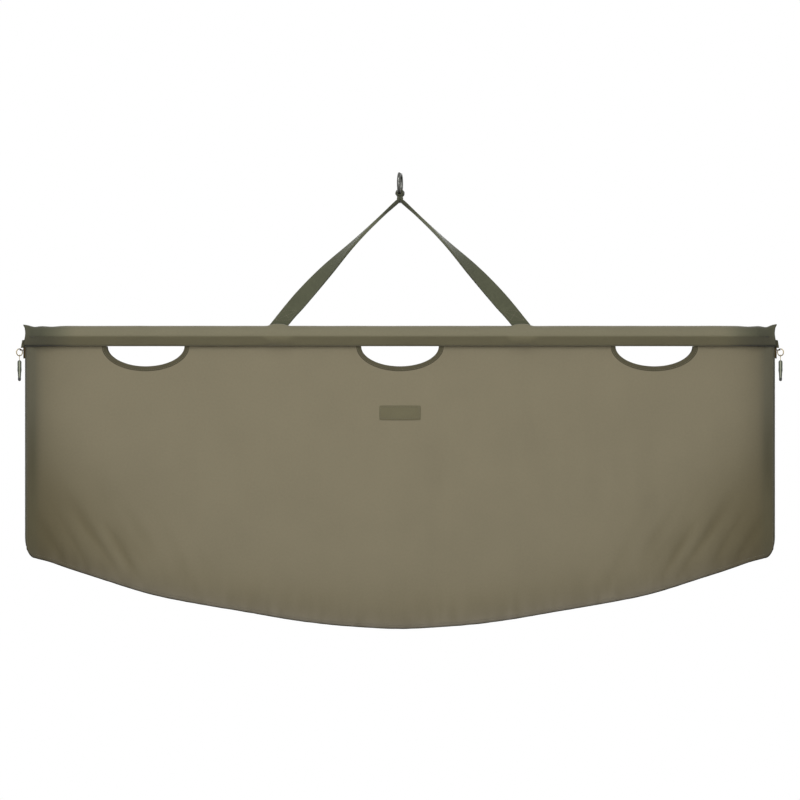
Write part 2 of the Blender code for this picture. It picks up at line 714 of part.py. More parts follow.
def build():
    hang_ring(pivot("ring", (0, 0, 0)))
    ring_loop(pivot("loop", (0, 0, bar_z)))
    for where, side in (("front", -1), ("rear", 1)):
        bridle = pivot(where + "_bridle", (0, 0, bridle_z))
        cloth_side = pivot(where + "_side", (0, side * pole_depth, pole_z))
        pole(where + "_pole", side, cloth_side)
        sleeve(where + "_sleeve", side, cloth_side)
        panel(where + "_panel", side, cloth_side)
        for place, x in hand_hole_places().items():
            binding(f"{where}_{place}_grip_binding", side, x, cloth_side)
        for hand, end in (("left", -1), ("right", 1)):
            strap(f"{where}_{hand}_strap", side, end, bridle)
            plug(f"{where}_{hand}_pole_plug", side, end, cloth_side)
            sleeve_end(f"{where}_{hand}_sleeve_end", side, end, cloth_side)
            zip_tape(f"{hand}_{where}_zip_tape", side, end, cloth_side)
            zip_coil(f"{hand}_{where}_zip_coil", side, end, cloth_side)
        if where == "front":
            label_patch(cloth_side)
    keel = pivot("keel", (0, 0, bottom_z))
    bottom_seam(keel)
    for hand, end in (("left", -1), ("right", 1)):
        zip_stop(f"{hand}_zip_stop", end, keel)
        zip_slider(f"{hand}_zip_slider", end, pivot(hand + "_slider", (end * coil_middle_x, 0, slider_z)))
        hook = pivot(hand + "_hook", (end * pull_hook_x, 0, bail_z))
        pull_ring(f"{hand}_pull_ring", end, hook)
        pull_tab(f"{hand}_pull_tab", end, pivot(hand + "_eye", (end * pull_ring_x, 0, pull_eye_z)))


build()
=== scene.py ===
"""Dresses a fish weigh sling: cloth, webbing, stitching, zips and a hang ring over its solid frame.

+X runs along the sling, -Y is its front, +Z is up, and the hang point is the origin.
"""

import math

import bmesh
import bpy
from mathutils import Matrix, Vector, noise


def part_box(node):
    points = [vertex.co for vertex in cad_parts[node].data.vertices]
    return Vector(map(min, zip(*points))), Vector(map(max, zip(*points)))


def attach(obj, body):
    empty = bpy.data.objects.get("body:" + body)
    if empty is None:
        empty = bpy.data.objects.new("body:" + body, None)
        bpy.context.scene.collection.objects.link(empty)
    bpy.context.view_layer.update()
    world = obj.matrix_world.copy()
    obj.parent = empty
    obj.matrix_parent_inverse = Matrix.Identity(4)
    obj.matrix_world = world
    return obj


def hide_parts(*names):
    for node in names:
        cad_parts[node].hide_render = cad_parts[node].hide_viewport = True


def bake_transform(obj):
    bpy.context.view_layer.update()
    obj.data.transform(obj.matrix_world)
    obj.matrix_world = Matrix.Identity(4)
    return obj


bl_info = {
    "name": "Weigh Sling",
    "version": (1, 0, 0),
    "blender": (4, 5, 0),
    "location": "View3D > Sidebar > Weigh Sling",
    "description": "Models the cloth, webbing, zips and metal of a fish weigh sling over its solid frame",
    "category": "Add Mesh",
}

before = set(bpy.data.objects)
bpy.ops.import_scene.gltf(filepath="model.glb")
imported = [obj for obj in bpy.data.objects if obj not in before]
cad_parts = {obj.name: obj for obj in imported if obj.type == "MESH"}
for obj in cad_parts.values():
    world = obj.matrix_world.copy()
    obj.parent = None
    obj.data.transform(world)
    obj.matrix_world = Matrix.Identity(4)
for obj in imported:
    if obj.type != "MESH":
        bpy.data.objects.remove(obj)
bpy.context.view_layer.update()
MM = 0.001
# What the sides and the hands are called, each with the sign of its Y or X
SIDES = (("front", -1), ("rear", 1))
HANDS = (("left", -1), ("right", 1))


def srgb(code):
    """A linear colour from an sRGB hex value."""
    parts = [int(code[place:place + 2], 16) / 255 for place in (1, 3, 5)]
    return [part / 12.92 if part <= 0.04045 else ((part + 0.055) / 1.055) ** 2.4 for part in parts]


# Places read from the frame
pole_low, pole_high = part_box("front_pole")
POLE_Z = (pole_low.z + pole_high.z) / 2
POLE_DEPTH = -(pole_low.y + pole_high.y) / 2
POLE_RADIUS = (pole_high.z - pole_low.z) / 2
POLE_END_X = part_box("front_right_pole_plug")[1].x
SLEEVE_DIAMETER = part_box("front_sleeve")[1].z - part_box("front_sleeve")[0].z
SLING_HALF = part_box("front_right_sleeve_end")[1].x
SEAM_Z = POLE_Z - SLEEVE_DIAMETER / 2
PANEL_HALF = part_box("front_panel")[1].x
coil_low, coil_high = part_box("right_front_zip_coil")
COIL_X = (coil_low.x + coil_high.x) / 2
COIL_TOP_Z, COIL_BOTTOM_Z = coil_high.z, coil_low.z
slider_low, slider_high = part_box("right_zip_slider")
SLIDER_TOP_Z, SLIDER_BOTTOM_Z = slider_high.z, slider_low.z
stop_low, stop_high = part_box("right_zip_stop")
pull_ring_low, pull_ring_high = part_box("right_pull_ring")
tab_low, tab_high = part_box("right_pull_tab")
patch_low, patch_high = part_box("label_patch")

# Sizes shared with the frame
HANG_BORE = 27 * MM
RING_WIRE = 5.5 * MM
RING_TURN = math.radians(-8)
LOOP_WIDTH = 16 * MM
LOOP_CLEARANCE = 0.4 * MM
TONGUE_THICKNESS = 2.4 * MM
TONGUE_LENGTH = 7.7 * MM
WEBBING_THICKNESS = 1.8 * MM
SEWN_WIDTH = 12 * MM
SEWN_FROM_MIDDLE = 1 * MM
SEWN_TOP_BELOW_LOOP = 3.2 * MM
SEWN_LENGTH = 3.4 * MM
STRAP_BOW = 7.8 * MM
STRAP_FOOT_X = 196.5 * MM
FOOT_FOLD_LENGTH = 30 * MM
TWIST_SHARES = (0.07, 0.97)
OPEN_OUT_SHARES = (0.13, 0.54)
FOOT_SQUARE_SHARES = (0.78, 0.94)
FOOT_NARROWS = 0.92
SLEEVE_END_HEIGHT = 34 * MM
SLEEVE_END_DEPTH = 16 * MM
SLEEVE_WALL = 1 * MM
SLOT_SIDE_CLEARANCE = 1.5 * MM
SLOT_FRONT_CLEARANCE = 0.4 * MM
SLOT_SWING = math.radians(47)
TOUCH_GAP = 0.3 * MM
PANEL_DROP = 450 * MM
CORNER_RISE = 113.6 * MM
BOTTOM_CURVE_POWER = 1.8
CORNER_REACH_DOWN = 33 * MM
CORNER_REACH_ACROSS = 15.3 * MM
HEM_ACROSS = 0.3
ROLL_WIDTH = 95 * MM
CORNER_DEPTH = 4.5 * MM
CORNER_EASE_SHARE = 0.85
KEEL_DEPTH = 1.5 * MM
BOTTOM_SEAM_WIDTH = 12 * MM
BOTTOM_SEAM_SHOWS = 1.5 * MM
CORNER_SEAM_TURN = math.radians(60)
HAND_HOLE_WIDTH = 124 * MM
HAND_HOLE_DEPTH = 32 * MM
HAND_HOLE_X = 406 * MM
BINDING_WIDTH = 8 * MM
UNDER_BINDING = BINDING_WIDTH - 1.5 * MM
TAPE_THICKNESS = 0.8 * MM
TAPE_START_DEPTH = 3.4 * MM
COIL_RADIUS = 1.2 * MM
PULL_NECK_LENGTH = 7.5 * MM
BAIL_BELOW_TOP = 5 * MM
BAIL_REACH = 6 * MM
PULL_RING_TURN = math.radians(35)
BAIL_WIRE_RADIUS = 0.8 * MM
SLIDER_PLATE = 1.8 * MM
GRIP_HALF_WIDTH = 3.25 * MM

# A strap's top, gathered beside the loop's tongue: its place, its turn outwards and its thicknesses
NECK_X, NECK_TURN_RADIUS = 2.75 * MM, 4 * MM
NECK_BELOW_BAR, NECK_TOP_OUT, NECK_TOP_DEPTH = 4 * MM, 0.5 * MM, 4.6 * MM
NECK_TOP_HALF_WIDTH, NECK_TOP_THICKNESS, NECK_THICKNESS = 3.6 * MM, 2.6 * MM, 3.7 * MM
STRAP_TOP_THICKNESS, GATHERED_THICKNESS, GATHERED_SHARE = 5.9 * MM, 4.4 * MM, 0.11

# How the cloth hangs, in the scene alone: each kind of fold's depth, and its bumps' size across and down
BROAD_FOLDS = (3.0 * MM, 75 * MM, 420 * MM)
NARROW_FOLDS = (1.3 * MM, 28 * MM, 160 * MM)
TOP_PUCKERS = (0.9 * MM, 16 * MM, 60 * MM)
SEAM_PUCKERS = (1.8 * MM, 13 * MM, 50 * MM)
CORNER_CREASES = (4.6 * MM, 21 * MM, 110 * MM)
CREASES_UPRIGHT, CREASES_LEANING = 0.86, 0.51
CREASES_X, CREASES_SPREAD, CREASES_HEIGHT = 470 * MM, 105 * MM, 85 * MM
CREASES_STRENGTH, CREASES_SHARPNESS = 1.3, 0.5
# How far from the sleeve, the seam and the zip the cloth is pulled too tight for each kind of fold
TOP_PUCKERS_REACH, TOP_PUCKERS_START = 22 * MM, 6 * MM
SEAM_PUCKERS_REACH, SEAM_PUCKERS_START = 26 * MM, 5 * MM
FOLDS_START, FOLDS_LEAN = 110 * MM, 0.05
BELLY_POWER, ROLL_POWER = 1.5, 2.2
# The sleeve's flat: its distance from the pole's middle in sleeve radii, and which way it faces
FLAT_SHARE, FLAT_OUTWARD, FLAT_DOWN = 13.3 / 16, 0.825, 0.567
# The bottom seam's slack: how far it lifts the seam in millimetres, and where along it
SEAM_SLACK = (
    (-2.8, 400 * MM, 62 * MM), (2.0, 240 * MM, 70 * MM), (-0.8, 0, 50 * MM), (0.6, 553 * MM, 16 * MM))
CORNER_SAG, CORNER_SAG_X, CORNER_SAG_REACH = 1.2, 563 * MM, 20 * MM
# Painted shade and highlights on the cloth and sleeves: how much darker or lighter each place is painted, and
# how far that reaches
SEAM_DARKER, SEAM_DARK_REACH = 0.26, 45 * MM
CORNER_DARKER, CORNER_DARK_REACH = (0.2, 0.44), (22 * MM, 107 * MM)
EDGE_DARKER, EDGE_DARK_REACH = (0.24, 0.1), 20 * MM
SLEEVE_SHADE, SLEEVE_SHADE_REACH = 0.07, 16 * MM
SLEEVE_GLOW, SLEEVE_GLOW_REACH = 0.08, 4 * MM
HEM_STRIP_X, HEM_STRIP_WIDTH = 587 * MM, 9 * MM
HEM_STRIP_SHADE, HEM_STRIP_SHADE_Z, HEM_STRIP_SHADE_REACH = (0.08, 0.27), -450 * MM, 75 * MM
LOW_FROM_Z, LOW_REACH = -340 * MM, 230 * MM
SLEEVE_END_SHADE, SLEEVE_END_SHADE_X, SLEEVE_END_SHADE_REACH = (0.54, 0.42), 510 * MM, 62 * MM
SLEEVE_UNDER_DARKER, SLEEVE_UNDER_REACH = 0.26, 3 * MM
SLEEVE_LIP_DARKER, SLEEVE_LIP_SHADE_REACH = (0.12, 0.62), 60 * MM
SLEEVE_LIP_BELOW, SLEEVE_LIP_REACH = 13.2 * MM, 2 * MM
# Painted shade and sheen on the webbing: darker where it is gathered under the ring, and a painted sheen,
# paler and greyer, where it twists, more so on the right
WEBBING_TONE, GATHERED_TONE, GATHERED_Z, GATHERED_REACH = 0.96, 0.72, -74 * MM, 20 * MM
SHEEN_Z, SHEEN_REACH = -95 * MM, 27 * MM
LEFT_SHEEN, RIGHT_SHEEN = (0.42, 0.04), (0.5, 0.16)
LEFT_SHADED_TO, RIGHT_SHADED_TO, UNDERSIDE_DARKER = 18 * MM, 9 * MM, 0.45
# Stitches: a thread's half length as a share of its pitch, half its width and height, and its lift
THREAD_HALF_SHARE, THREAD_HALF_WIDTH, THREAD_HALF_HEIGHT, THREAD_LIFT = 0.38, 0.42 * MM, 0.32 * MM, 0.1 * MM

# Worked out from the sizes above
ring_radius = (HANG_BORE + RING_WIRE) / 2
bar_z = -(HANG_BORE / 2 + ring_radius)
loop_hole_radius = ring_radius + LOOP_CLEARANCE - math.sqrt(HANG_BORE**2 - LOOP_WIDTH**2) / 2
neck_z = bar_z - loop_hole_radius - WEBBING_THICKNESS
bridle_z = neck_z - SEWN_TOP_BELOW_LOOP
sewn_end_z = bridle_z - SEWN_LENGTH
sewn_x = TONGUE_THICKNESS / 2 + TOUCH_GAP + WEBBING_THICKNESS
strap_top_z = sewn_end_z + 2 * MM
sewn_depth = SEWN_FROM_MIDDLE + SEWN_WIDTH / 2
foot_z = POLE_Z + POLE_RADIUS + TOUCH_GAP + WEBBING_THICKNESS / 2
grip_top_z = SEAM_Z - TOUCH_GAP
bottom_z = SEAM_Z - PANEL_DROP
corner_z = bottom_z + CORNER_RISE - 1.2 * MM
corner_centre_z = corner_z + CORNER_REACH_DOWN
slider_face_x = slider_high.x - BAIL_REACH - BAIL_WIRE_RADIUS
slider_length = SLIDER_TOP_Z - SLIDER_BOTTOM_Z
slider_middle_z = (SLIDER_TOP_Z + SLIDER_BOTTOM_Z) / 2


def mix(start, end, share):
    """The value that lies at a share of the way from start to end."""
    return start + (end - start) * share


def smooth(share):
    """Eases a share in and out, and holds it between 0 and 1."""
    share = min(max(share, 0.0), 1.0)
    return share * share * (3 - 2 * share)


def smooth_between(value, start, end):
    return smooth((value - start) / (end - start))


def bump(value, middle, width):
    """1 at the middle, falling away smoothly on both sides."""
    return math.exp(-((value - middle) / width) ** 2)


def fade(distance, reach, power=1):
    """1 at a line, falling away with the distance from it."""
    return math.exp(-(distance / reach) ** power)


def fuller(wave, power):
    """A sine or cosine that is drawn out towards 1 and -1, so that a round section gets flat faces."""
    return math.copysign(abs(wave) ** power, wave)


def ripple(x, z, across, down, seed):
    """Even noise from -1 to 1 whose bumps are about `across` wide and `down` high."""
    return noise.noise(Vector((x / across, z / down, seed)))


# Property groups
class WeighSlingSizes(bpy.types.PropertyGroup):
    webbing_width: bpy.props.FloatProperty(
        name="Webbing width", description="Width of the bridle's webbing", default=25 * MM, unit="LENGTH")
    cloth_thickness: bpy.props.FloatProperty(
        name="Cloth thickness", description="Thickness of the panels' cloth", default=1 * MM, unit="LENGTH")
    fold_depth: bpy.props.FloatProperty(
        name="Fold depth", description="Depth of the hanging folds", default=2 * MM, unit="LENGTH")
    fold_spacing: bpy.props.FloatProperty(
        name="Fold spacing", description="Distance between hanging folds", default=172 * MM, unit="LENGTH")
    belly: bpy.props.FloatProperty(
        name="Belly", description="How far the bag's middle stands out", default=9 * MM, unit="LENGTH")
    stitch_pitch: bpy.props.FloatProperty(
        name="Stitch pitch", description="From one stitch to the next", default=3.2 * MM, unit="LENGTH")
    coil_pitch: bpy.props.FloatProperty(
        name="Coil pitch", description="From one zip tooth to the next", default=1.9 * MM, unit="LENGTH")


class WeighSlingColours(bpy.types.PropertyGroup):
    cloth: bpy.props.FloatVectorProperty(
        name="Cloth", description="Woven cloth of the bag", subtype="COLOR", default=srgb("#867e67"))
    sleeve: bpy.props.FloatVectorProperty(
        name="Sleeve", description="Woven cloth of the sleeves", subtype="COLOR", default=srgb("#7f7a63"))
    tape: bpy.props.FloatVectorProperty(
        name="Tape", description="Woven binding tape", subtype="COLOR", default=srgb("#57523f"))
    webbing: bpy.props.FloatVectorProperty(
        name="Webbing", description="Nylon webbing of the bridle", subtype="COLOR", default=srgb("#565844"))
    zip_tape: bpy.props.FloatVectorProperty(
        name="Zip tape", description="Woven tape of the zips", subtype="COLOR", default=srgb("#5d5b47"))
    thread: bpy.props.FloatVectorProperty(
        name="Thread", description="Sewing thread", subtype="COLOR", default=srgb("#6a644e"))
    patch: bpy.props.FloatVectorProperty(
        name="Patch", description="Woven patch on the front", subtype="COLOR", default=srgb("#6f6a52"))
    seam: bpy.props.FloatVectorProperty(
        name="Seam", description="Tape in the bottom seam", subtype="COLOR", default=srgb("#403e2f"))


# Materials
def feed(tree, node, inputs):
    """Fills a node's inputs: each gets a value, or a link from a node or a socket."""
    for name, value in inputs.items():
        socket = node.inputs[name]
        if isinstance(value, bpy.types.Node):
            value = value.outputs[0]
        if isinstance(value, bpy.types.NodeSocket):
            tree.links.new(value, socket)
        elif socket.type == "RGBA":
            socket.default_value = (*value, 1.0)
        else:
            socket.default_value = value


def add_node(tree, kind, inputs, stops=(), **settings):
    """A node with its settings, inputs and, on a colour ramp, its stops as (position, colour)."""
    made = tree.nodes.new(kind)
    for name, value in settings.items():
        setattr(made, name, value)
    for number, (position, colour) in enumerate(stops):
        made.color_ramp.elements[number].position = position
        made.color_ramp.elements[number].color = (*colour, 1.0)
    feed(tree, made, inputs)
    return made


def new_material(name, colour, roughness, sockets=None):
    """A Principled material whose plain values stand on its own sockets."""
    material = bpy.data.materials.new(name)
    material.use_nodes = True
    tree = material.node_tree
    shader = tree.nodes["Principled BSDF"]
    feed(tree, shader, {"Base Color": colour, "Roughness": roughness, **(sockets or {})})
    return material, tree, shader


def band_scale(pitch):
    """A wave texture's scale for one band each pitch."""
    return math.tau / 20 / pitch


def shades(colour, dark, light):
    """A colour ramp's stops, from a darker to a lighter shade of one colour."""
    return (0.25, [part * dark for part in colour]), (0.75, [part * light for part in colour])


def woven(name, colour, warp_pitch, weft_pitch, relief, sheen, contrast, cloud, with_painted_shading=False):
    """Cloth whose threads cross: warp runs down the piece and weft across it, on its own UV map in metres."""
    material, tree, shader = new_material(
        name, colour, 0.86, {"Sheen Weight": sheen, "Sheen Roughness": 0.5, "Specular IOR Level": 0.25})
    weave = add_node(tree, "ShaderNodeUVMap", {}, uv_map="weave")
    warp = add_node(tree, "ShaderNodeTexWave", {"Vector": weave, "Scale": band_scale(warp_pitch)},
                    wave_type="BANDS", bands_direction="X", wave_profile="SIN")
    weft = add_node(tree, "ShaderNodeTexWave", {"Vector": weave, "Scale": band_scale(weft_pitch)},
                    wave_type="BANDS", bands_direction="Y", wave_profile="SIN")
    warp_half = add_node(tree, "ShaderNodeMath", {0: warp.outputs["Fac"], 1: 0.5}, operation="SUBTRACT")
    weft_half = add_node(tree, "ShaderNodeMath", {0: weft.outputs["Fac"], 1: 0.5}, operation="SUBTRACT")
    crossing = add_node(tree, "ShaderNodeMath", {0: warp_half, 1: weft_half}, operation="MULTIPLY")
    height = add_node(tree, "ShaderNodeMath", {0: crossing, 1: 2.0, 2: 0.5}, operation="MULTIPLY_ADD")
    slub = add_node(tree, "ShaderNodeTexNoise",
                    {"Vector": weave, "Scale": 1 / (4 * warp_pitch), "Detail": 3.0})
    clouds = add_node(tree, "ShaderNodeTexNoise", {"Vector": weave, "Scale": 1 / cloud, "Detail": 2.0})
    mixed = add_node(tree, "ShaderNodeMath", {0: slub.outputs["Fac"], 1: clouds.outputs["Fac"]},
                     operation="ADD")
    toned = add_node(tree, "ShaderNodeMath", {0: height, 1: 0.35, 2: mixed}, operation="MULTIPLY_ADD")
    level = add_node(tree, "ShaderNodeMath", {0: toned, 1: 0.45, 2: -0.03}, operation="MULTIPLY_ADD")
    tone = add_node(tree, "ShaderNodeValToRGB", {"Fac": level},
                    stops=shades(colour, 1 - contrast, 1 + contrast)).outputs["Color"]
    # Multiplies in the painted shade and highlights stored on the piece
    if with_painted_shading:
        painted_shading = add_node(tree, "ShaderNodeAttribute", {}, attribute_name="painted_shading", attribute_type="GEOMETRY")
        darkened = add_node(tree, "ShaderNodeMix", {"Factor": 1.0, "A": tone, "B": painted_shading},
                            data_type="RGBA", blend_type="MULTIPLY")
        tone = darkened.outputs["Result"]
    yarns = add_node(tree, "ShaderNodeBump", {"Height": height, "Strength": relief, "Distance": 0.15 * MM})
    feed(tree, shader, {"Base Color": tone, "Normal": yarns})
    return material


def woven_polyester(colours):
    """Fine plain-woven polyester, matt with a soft bloom: 0.9 mm threads, drawn coarser than real to show."""
    return woven("woven_polyester", colours.cloth, 0.9 * MM, 0.9 * MM, 0.35, 0.2, 0.06, 90 * MM, with_painted_shading=True)


def sleeve_polyester(colours):
    """The same weave over the poles, where it is pulled tight and a little greyer."""
    return woven(
        "sleeve_polyester", colours.sleeve, 0.9 * MM, 0.9 * MM, 0.35, 0.2, 0.07, 60 * MM, with_painted_shading=True)


def ribbed_tape(colours):
    """Grosgrain tape: fine ribs across its width, matt and dark."""
    return woven("grosgrain_tape", colours.tape, 2.4 * MM, 1.1 * MM, 0.6, 0.12, 0.12, 30 * MM)


def seam_binding(colours):
    """The same ribbed tape, folded over the bottom seam, in a darker colour."""
    return woven("grosgrain_seam_tape", colours.seam, 2.4 * MM, 1.1 * MM, 0.6, 0.12, 0.2, 12 * MM)


def nylon_webbing(colours):
    """Heavy nylon webbing: coarse crossing yarns with a slight sheen on each."""
    return woven("nylon_webbing", colours.webbing, 1.9 * MM, 2.6 * MM, 0.9, 0.35, 0.16, 40 * MM, with_painted_shading=True)


def zip_tape_cloth(colours):
    """Herringbone zip tape: close narrow ribs down its length."""
    return woven("polyester_zip_tape", colours.zip_tape, 1.2 * MM, 0.8 * MM, 0.5, 0.15, 0.1, 50 * MM)


def patch_cloth(colours):
    """A damask-woven patch: denser and smoother than the cloth round it."""
    return woven("damask_patch", colours.patch, 0.7 * MM, 0.7 * MM, 0.3, 0.15, 0.08, 25 * MM)


def sewing_thread(colours):
    """Bonded polyester thread: two twisted plies that catch a little light."""
    material, tree, shader = new_material("polyester_thread", colours.thread, 0.55, {"Sheen Weight": 0.3})
    place = add_node(tree, "ShaderNodeTexCoord", {})
    ply = add_node(tree, "ShaderNodeTexWave",
                   {"Vector": place.outputs["Object"], "Scale": band_scale(0.7 * MM)},
                   wave_type="BANDS", bands_direction="DIAGONAL")
    tone = add_node(tree, "ShaderNodeValToRGB", {"Fac": ply.outputs["Fac"]},
                    stops=shades(colours.thread, 0.85, 1.15))
    twist = add_node(tree, "ShaderNodeBump", {"Height": ply.outputs["Fac"], "Strength": 0.4,
                                              "Distance": 0.1 * MM})
    feed(tree, shader, {"Base Color": tone, "Normal": twist})
    return material


def worn_metal(name, colour, wear_and_sheen, roughness, grain):
    """A plated metal whose finish has rubbed thin in places."""
    material, tree, shader = new_material(name, colour, roughness, {"Metallic": 1.0})
    place = add_node(tree, "ShaderNodeTexCoord", {})
    wear = add_node(tree, "ShaderNodeTexNoise",
                    {"Vector": place.outputs["Object"], "Scale": 1 / grain, "Detail": 6.0, "Roughness": 0.6})
    tone = add_node(tree, "ShaderNodeValToRGB", {"Fac": wear.outputs["Fac"]},
                    stops=((0.35, colour), (0.75, wear_and_sheen)))
    gloss = add_node(tree, "ShaderNodeMapRange",
                     {"Value": wear.outputs["Fac"], "From Min": 0.3, "From Max": 0.7,
                      "To Min": roughness * 0.8, "To Max": roughness * 1.3})
    scuffs = add_node(tree, "ShaderNodeBump", {"Height": wear.outputs["Fac"], "Strength": 0.15,
                                               "Distance": 0.05 * MM})
    feed(tree, shader, {"Base Color": tone, "Roughness": gloss, "Normal": scuffs})
    return material


def antique_bronze(_colours):
    """Antique bronze plate on die-cast zinc: near black, with brassy wear on what is handled."""
    return worn_metal("antique_bronze_plate", srgb("#241d13"), srgb("#51442d"), 0.52, 2.5 * MM)


def brass_wire(_colours):
    """Drawn brass wire, dulled in the hand."""
    return worn_metal("dulled_brass_wire", srgb("#8c7c5a"), srgb("#b3a27a"), 0.34, 3 * MM)


def gunmetal(_colours):
    """Black nickel plate on steel wire: dark grey with bright highlights."""
    return worn_metal("black_nickel_plate", srgb("#4b4c49"), srgb("#6f706b"), 0.24, 4 * MM)


def drawn_aluminium(_colours):
    """Drawn aluminium tube: fine lines along its length."""
    material, tree, shader = new_material("drawn_aluminium", srgb("#a9a9a6"), 0.35, {"Metallic": 1.0})
    place = add_node(tree, "ShaderNodeTexCoord", {})
    lines = add_node(tree, "ShaderNodeMapping",
                     {"Vector": place.outputs["Object"], "Scale": (0.05, 1.0, 1.0)})
    drawn = add_node(tree, "ShaderNodeTexNoise", {"Vector": lines, "Scale": 1 / (0.4 * MM), "Detail": 2.0})
    scored = add_node(tree, "ShaderNodeBump", {"Height": drawn.outputs["Fac"], "Strength": 0.2,
                                               "Distance": 0.05 * MM})
    feed(tree, shader, {"Normal": scored})
    return material


def moulded_polyethylene(_colours):
    """Moulded black polyethylene: soft gloss with the mould's fine grain."""
    material, tree, shader = new_material("moulded_polyethylene", srgb("#232321"), 0.48)
    place = add_node(tree, "ShaderNodeTexCoord", {})
    grain = add_node(tree, "ShaderNodeTexNoise", {"Vector": place.outputs["Object"], "Scale": 1 / (0.5 * MM)})
    pebbled = add_node(tree, "ShaderNodeBump", {"Height": grain.outputs["Fac"], "Strength": 0.2,
                                                "Distance": 0.05 * MM})
    feed(tree, shader, {"Normal": pebbled})
    return material


def coil_nylon(_colours):
    """Dyed nylon monofilament, wound into teeth: smooth and slightly glossy."""
    material, tree, shader = new_material("nylon_zip_coil", srgb("#37342a"), 0.42)
    place = add_node(tree, "ShaderNodeTexCoord", {})
    dye = add_node(tree, "ShaderNodeTexNoise", {"Vector": place.outputs["Object"], "Scale": 1 / (3 * MM)})
    tone = add_node(tree, "ShaderNodeValToRGB", {"Fac": dye.outputs["Fac"]},
                    stops=shades(srgb("#37342a"), 0.8, 1.2))
    feed(tree, shader, {"Base Color": tone})
    return material


def moulded_rubber(name, code):
    """Soft moulded rubber grip: matt, with a faint moulded grain."""
    material, tree, shader = new_material(name, srgb(code), 0.62)
    place = add_node(tree, "ShaderNodeTexCoord", {})
    grain = add_node(tree, "ShaderNodeTexNoise",
                     {"Vector": place.outputs["Object"], "Scale": 1 / (0.8 * MM), "Detail": 3.0})
    tone = add_node(tree, "ShaderNodeValToRGB", {"Fac": grain.outputs["Fac"]},
                    stops=shades(srgb(code), 0.85, 1.15))
    pebbled = add_node(tree, "ShaderNodeBump", {"Height": grain.outputs["Fac"], "Strength": 0.25,
                                                "Distance": 0.08 * MM})
    feed(tree, shader, {"Base Color": tone, "Normal": pebbled})
    return material


FINISHES = {
    "cloth": woven_polyester, "sleeve": sleeve_polyester, "tape": ribbed_tape, "webbing": nylon_webbing,
    "zip_tape": zip_tape_cloth, "patch": patch_cloth, "seam": seam_binding, "thread": sewing_thread,
    "bronze": antique_bronze, "brass": brass_wire, "gunmetal": gunmetal, "aluminium": drawn_aluminium,
    "plug": moulded_polyethylene, "coil": coil_nylon,
    "grip": lambda _colours: moulded_rubber("moulded_rubber_grip", "#3f4437"),
    "grip_core": lambda _colours: moulded_rubber("moulded_rubber_core", "#a0a48f"),
    "grip_tip": lambda _colours: moulded_rubber("moulded_rubber_tip", "#2c2d29"),
}
made_finishes = {}


def finish_named(name):
    """A finish's material, made the first time it is asked for."""
    if name not in made_finishes:
        made_finishes[name] = FINISHES[name](bpy.context.scene.weigh_sling_colours)
    return made_finishes[name]


# Modelling helpers
def sizes():
    return bpy.context.scene.weigh_sling_sizes


def deselect():
    if bpy.context.object and bpy.context.object.mode != "OBJECT":
        bpy.ops.object.mode_set(mode="OBJECT")
    bpy.ops.object.select_all(action="DESELECT")


def pick(piece):
    """Selects one piece alone and makes it active."""
    deselect()
    piece.select_set(True)
    bpy.context.view_layer.objects.active = piece


def apply_modifier(piece, kind, **settings):
    """Adds a modifier with its settings and applies it."""
    pick(piece)
    modifier = piece.modifiers.new(kind.lower(), kind)
    for name, value in settings.items():
        setattr(modifier, name, value)
    bpy.ops.object.modifier_apply(modifier=modifier.name)


def apply_place(piece):
    pick(piece)
    bpy.ops.object.transform_apply(location=True, rotation=True, scale=True)


def start_from(add, name, scale=(1, 1, 1), **settings):
    """Adds a primitive with its settings, and puts its place, turn and scale into its mesh."""
    deselect()
    add(**settings)
    piece = bpy.context.object
    piece.name = name
    piece.scale = scale
    apply_place(piece)
    return piece


def edit(piece, *steps):
    """Runs edit mode steps on all of a piece's mesh."""
    pick(piece)
    bpy.ops.object.mode_set(mode="EDIT")
    bpy.ops.mesh.select_all(action="SELECT")
    for step in steps:
        step()
    bpy.ops.object.mode_set(mode="OBJECT")


def weld():
    bpy.ops.mesh.remove_doubles(threshold=0.01 * MM)


def face_out():
    bpy.ops.mesh.normals_make_consistent(inside=False)


def fill_ends():
    """Closes the open ends of a tube and faces the whole of it outwards."""
    bpy.ops.mesh.select_all(action="DESELECT")
    bpy.ops.mesh.select_non_manifold(extend=False)
    bpy.ops.mesh.edge_face_add()
    bpy.ops.mesh.select_all(action="SELECT")
    face_out()


def cloth_grid(name, columns, rows, place):
    """A grid bent to shape. place(column, row) gives a point and its place on the flat cloth, in metres."""
    deselect()
    bpy.ops.mesh.primitive_grid_add(x_subdivisions=columns, y_subdivisions=rows, size=2, calc_uvs=True)
    piece = bpy.context.object
    piece.name = name
    piece.data.name = name
    piece.data.uv_layers[0].name = "weave"
    flat = []
    for vertex in piece.data.vertices:
        column = round((vertex.co.x + 1) / 2 * columns)
        row = round((1 - vertex.co.y) / 2 * rows)
        vertex.co, on_cloth = place(column, row)
        flat.append(on_cloth)
    weave = piece.data.uv_layers["weave"].data
    for loop in piece.data.loops:
        weave[loop.index].uv = flat[loop.vertex_index]
    return piece


def give_wall(piece, thickness, group=""):
    """Gives cloth its thickness, half to each side; a vertex group thins it where its weight is low."""
    apply_modifier(piece, "SOLIDIFY", thickness=thickness, offset=0.0, use_even_offset=False,
                   vertex_group=group)


def join(main, *others):
    """Joins the others into the main piece, which keeps its name."""
    pick(main)
    for other in others:
        other.select_set(True)
    bpy.ops.object.join()
    return main


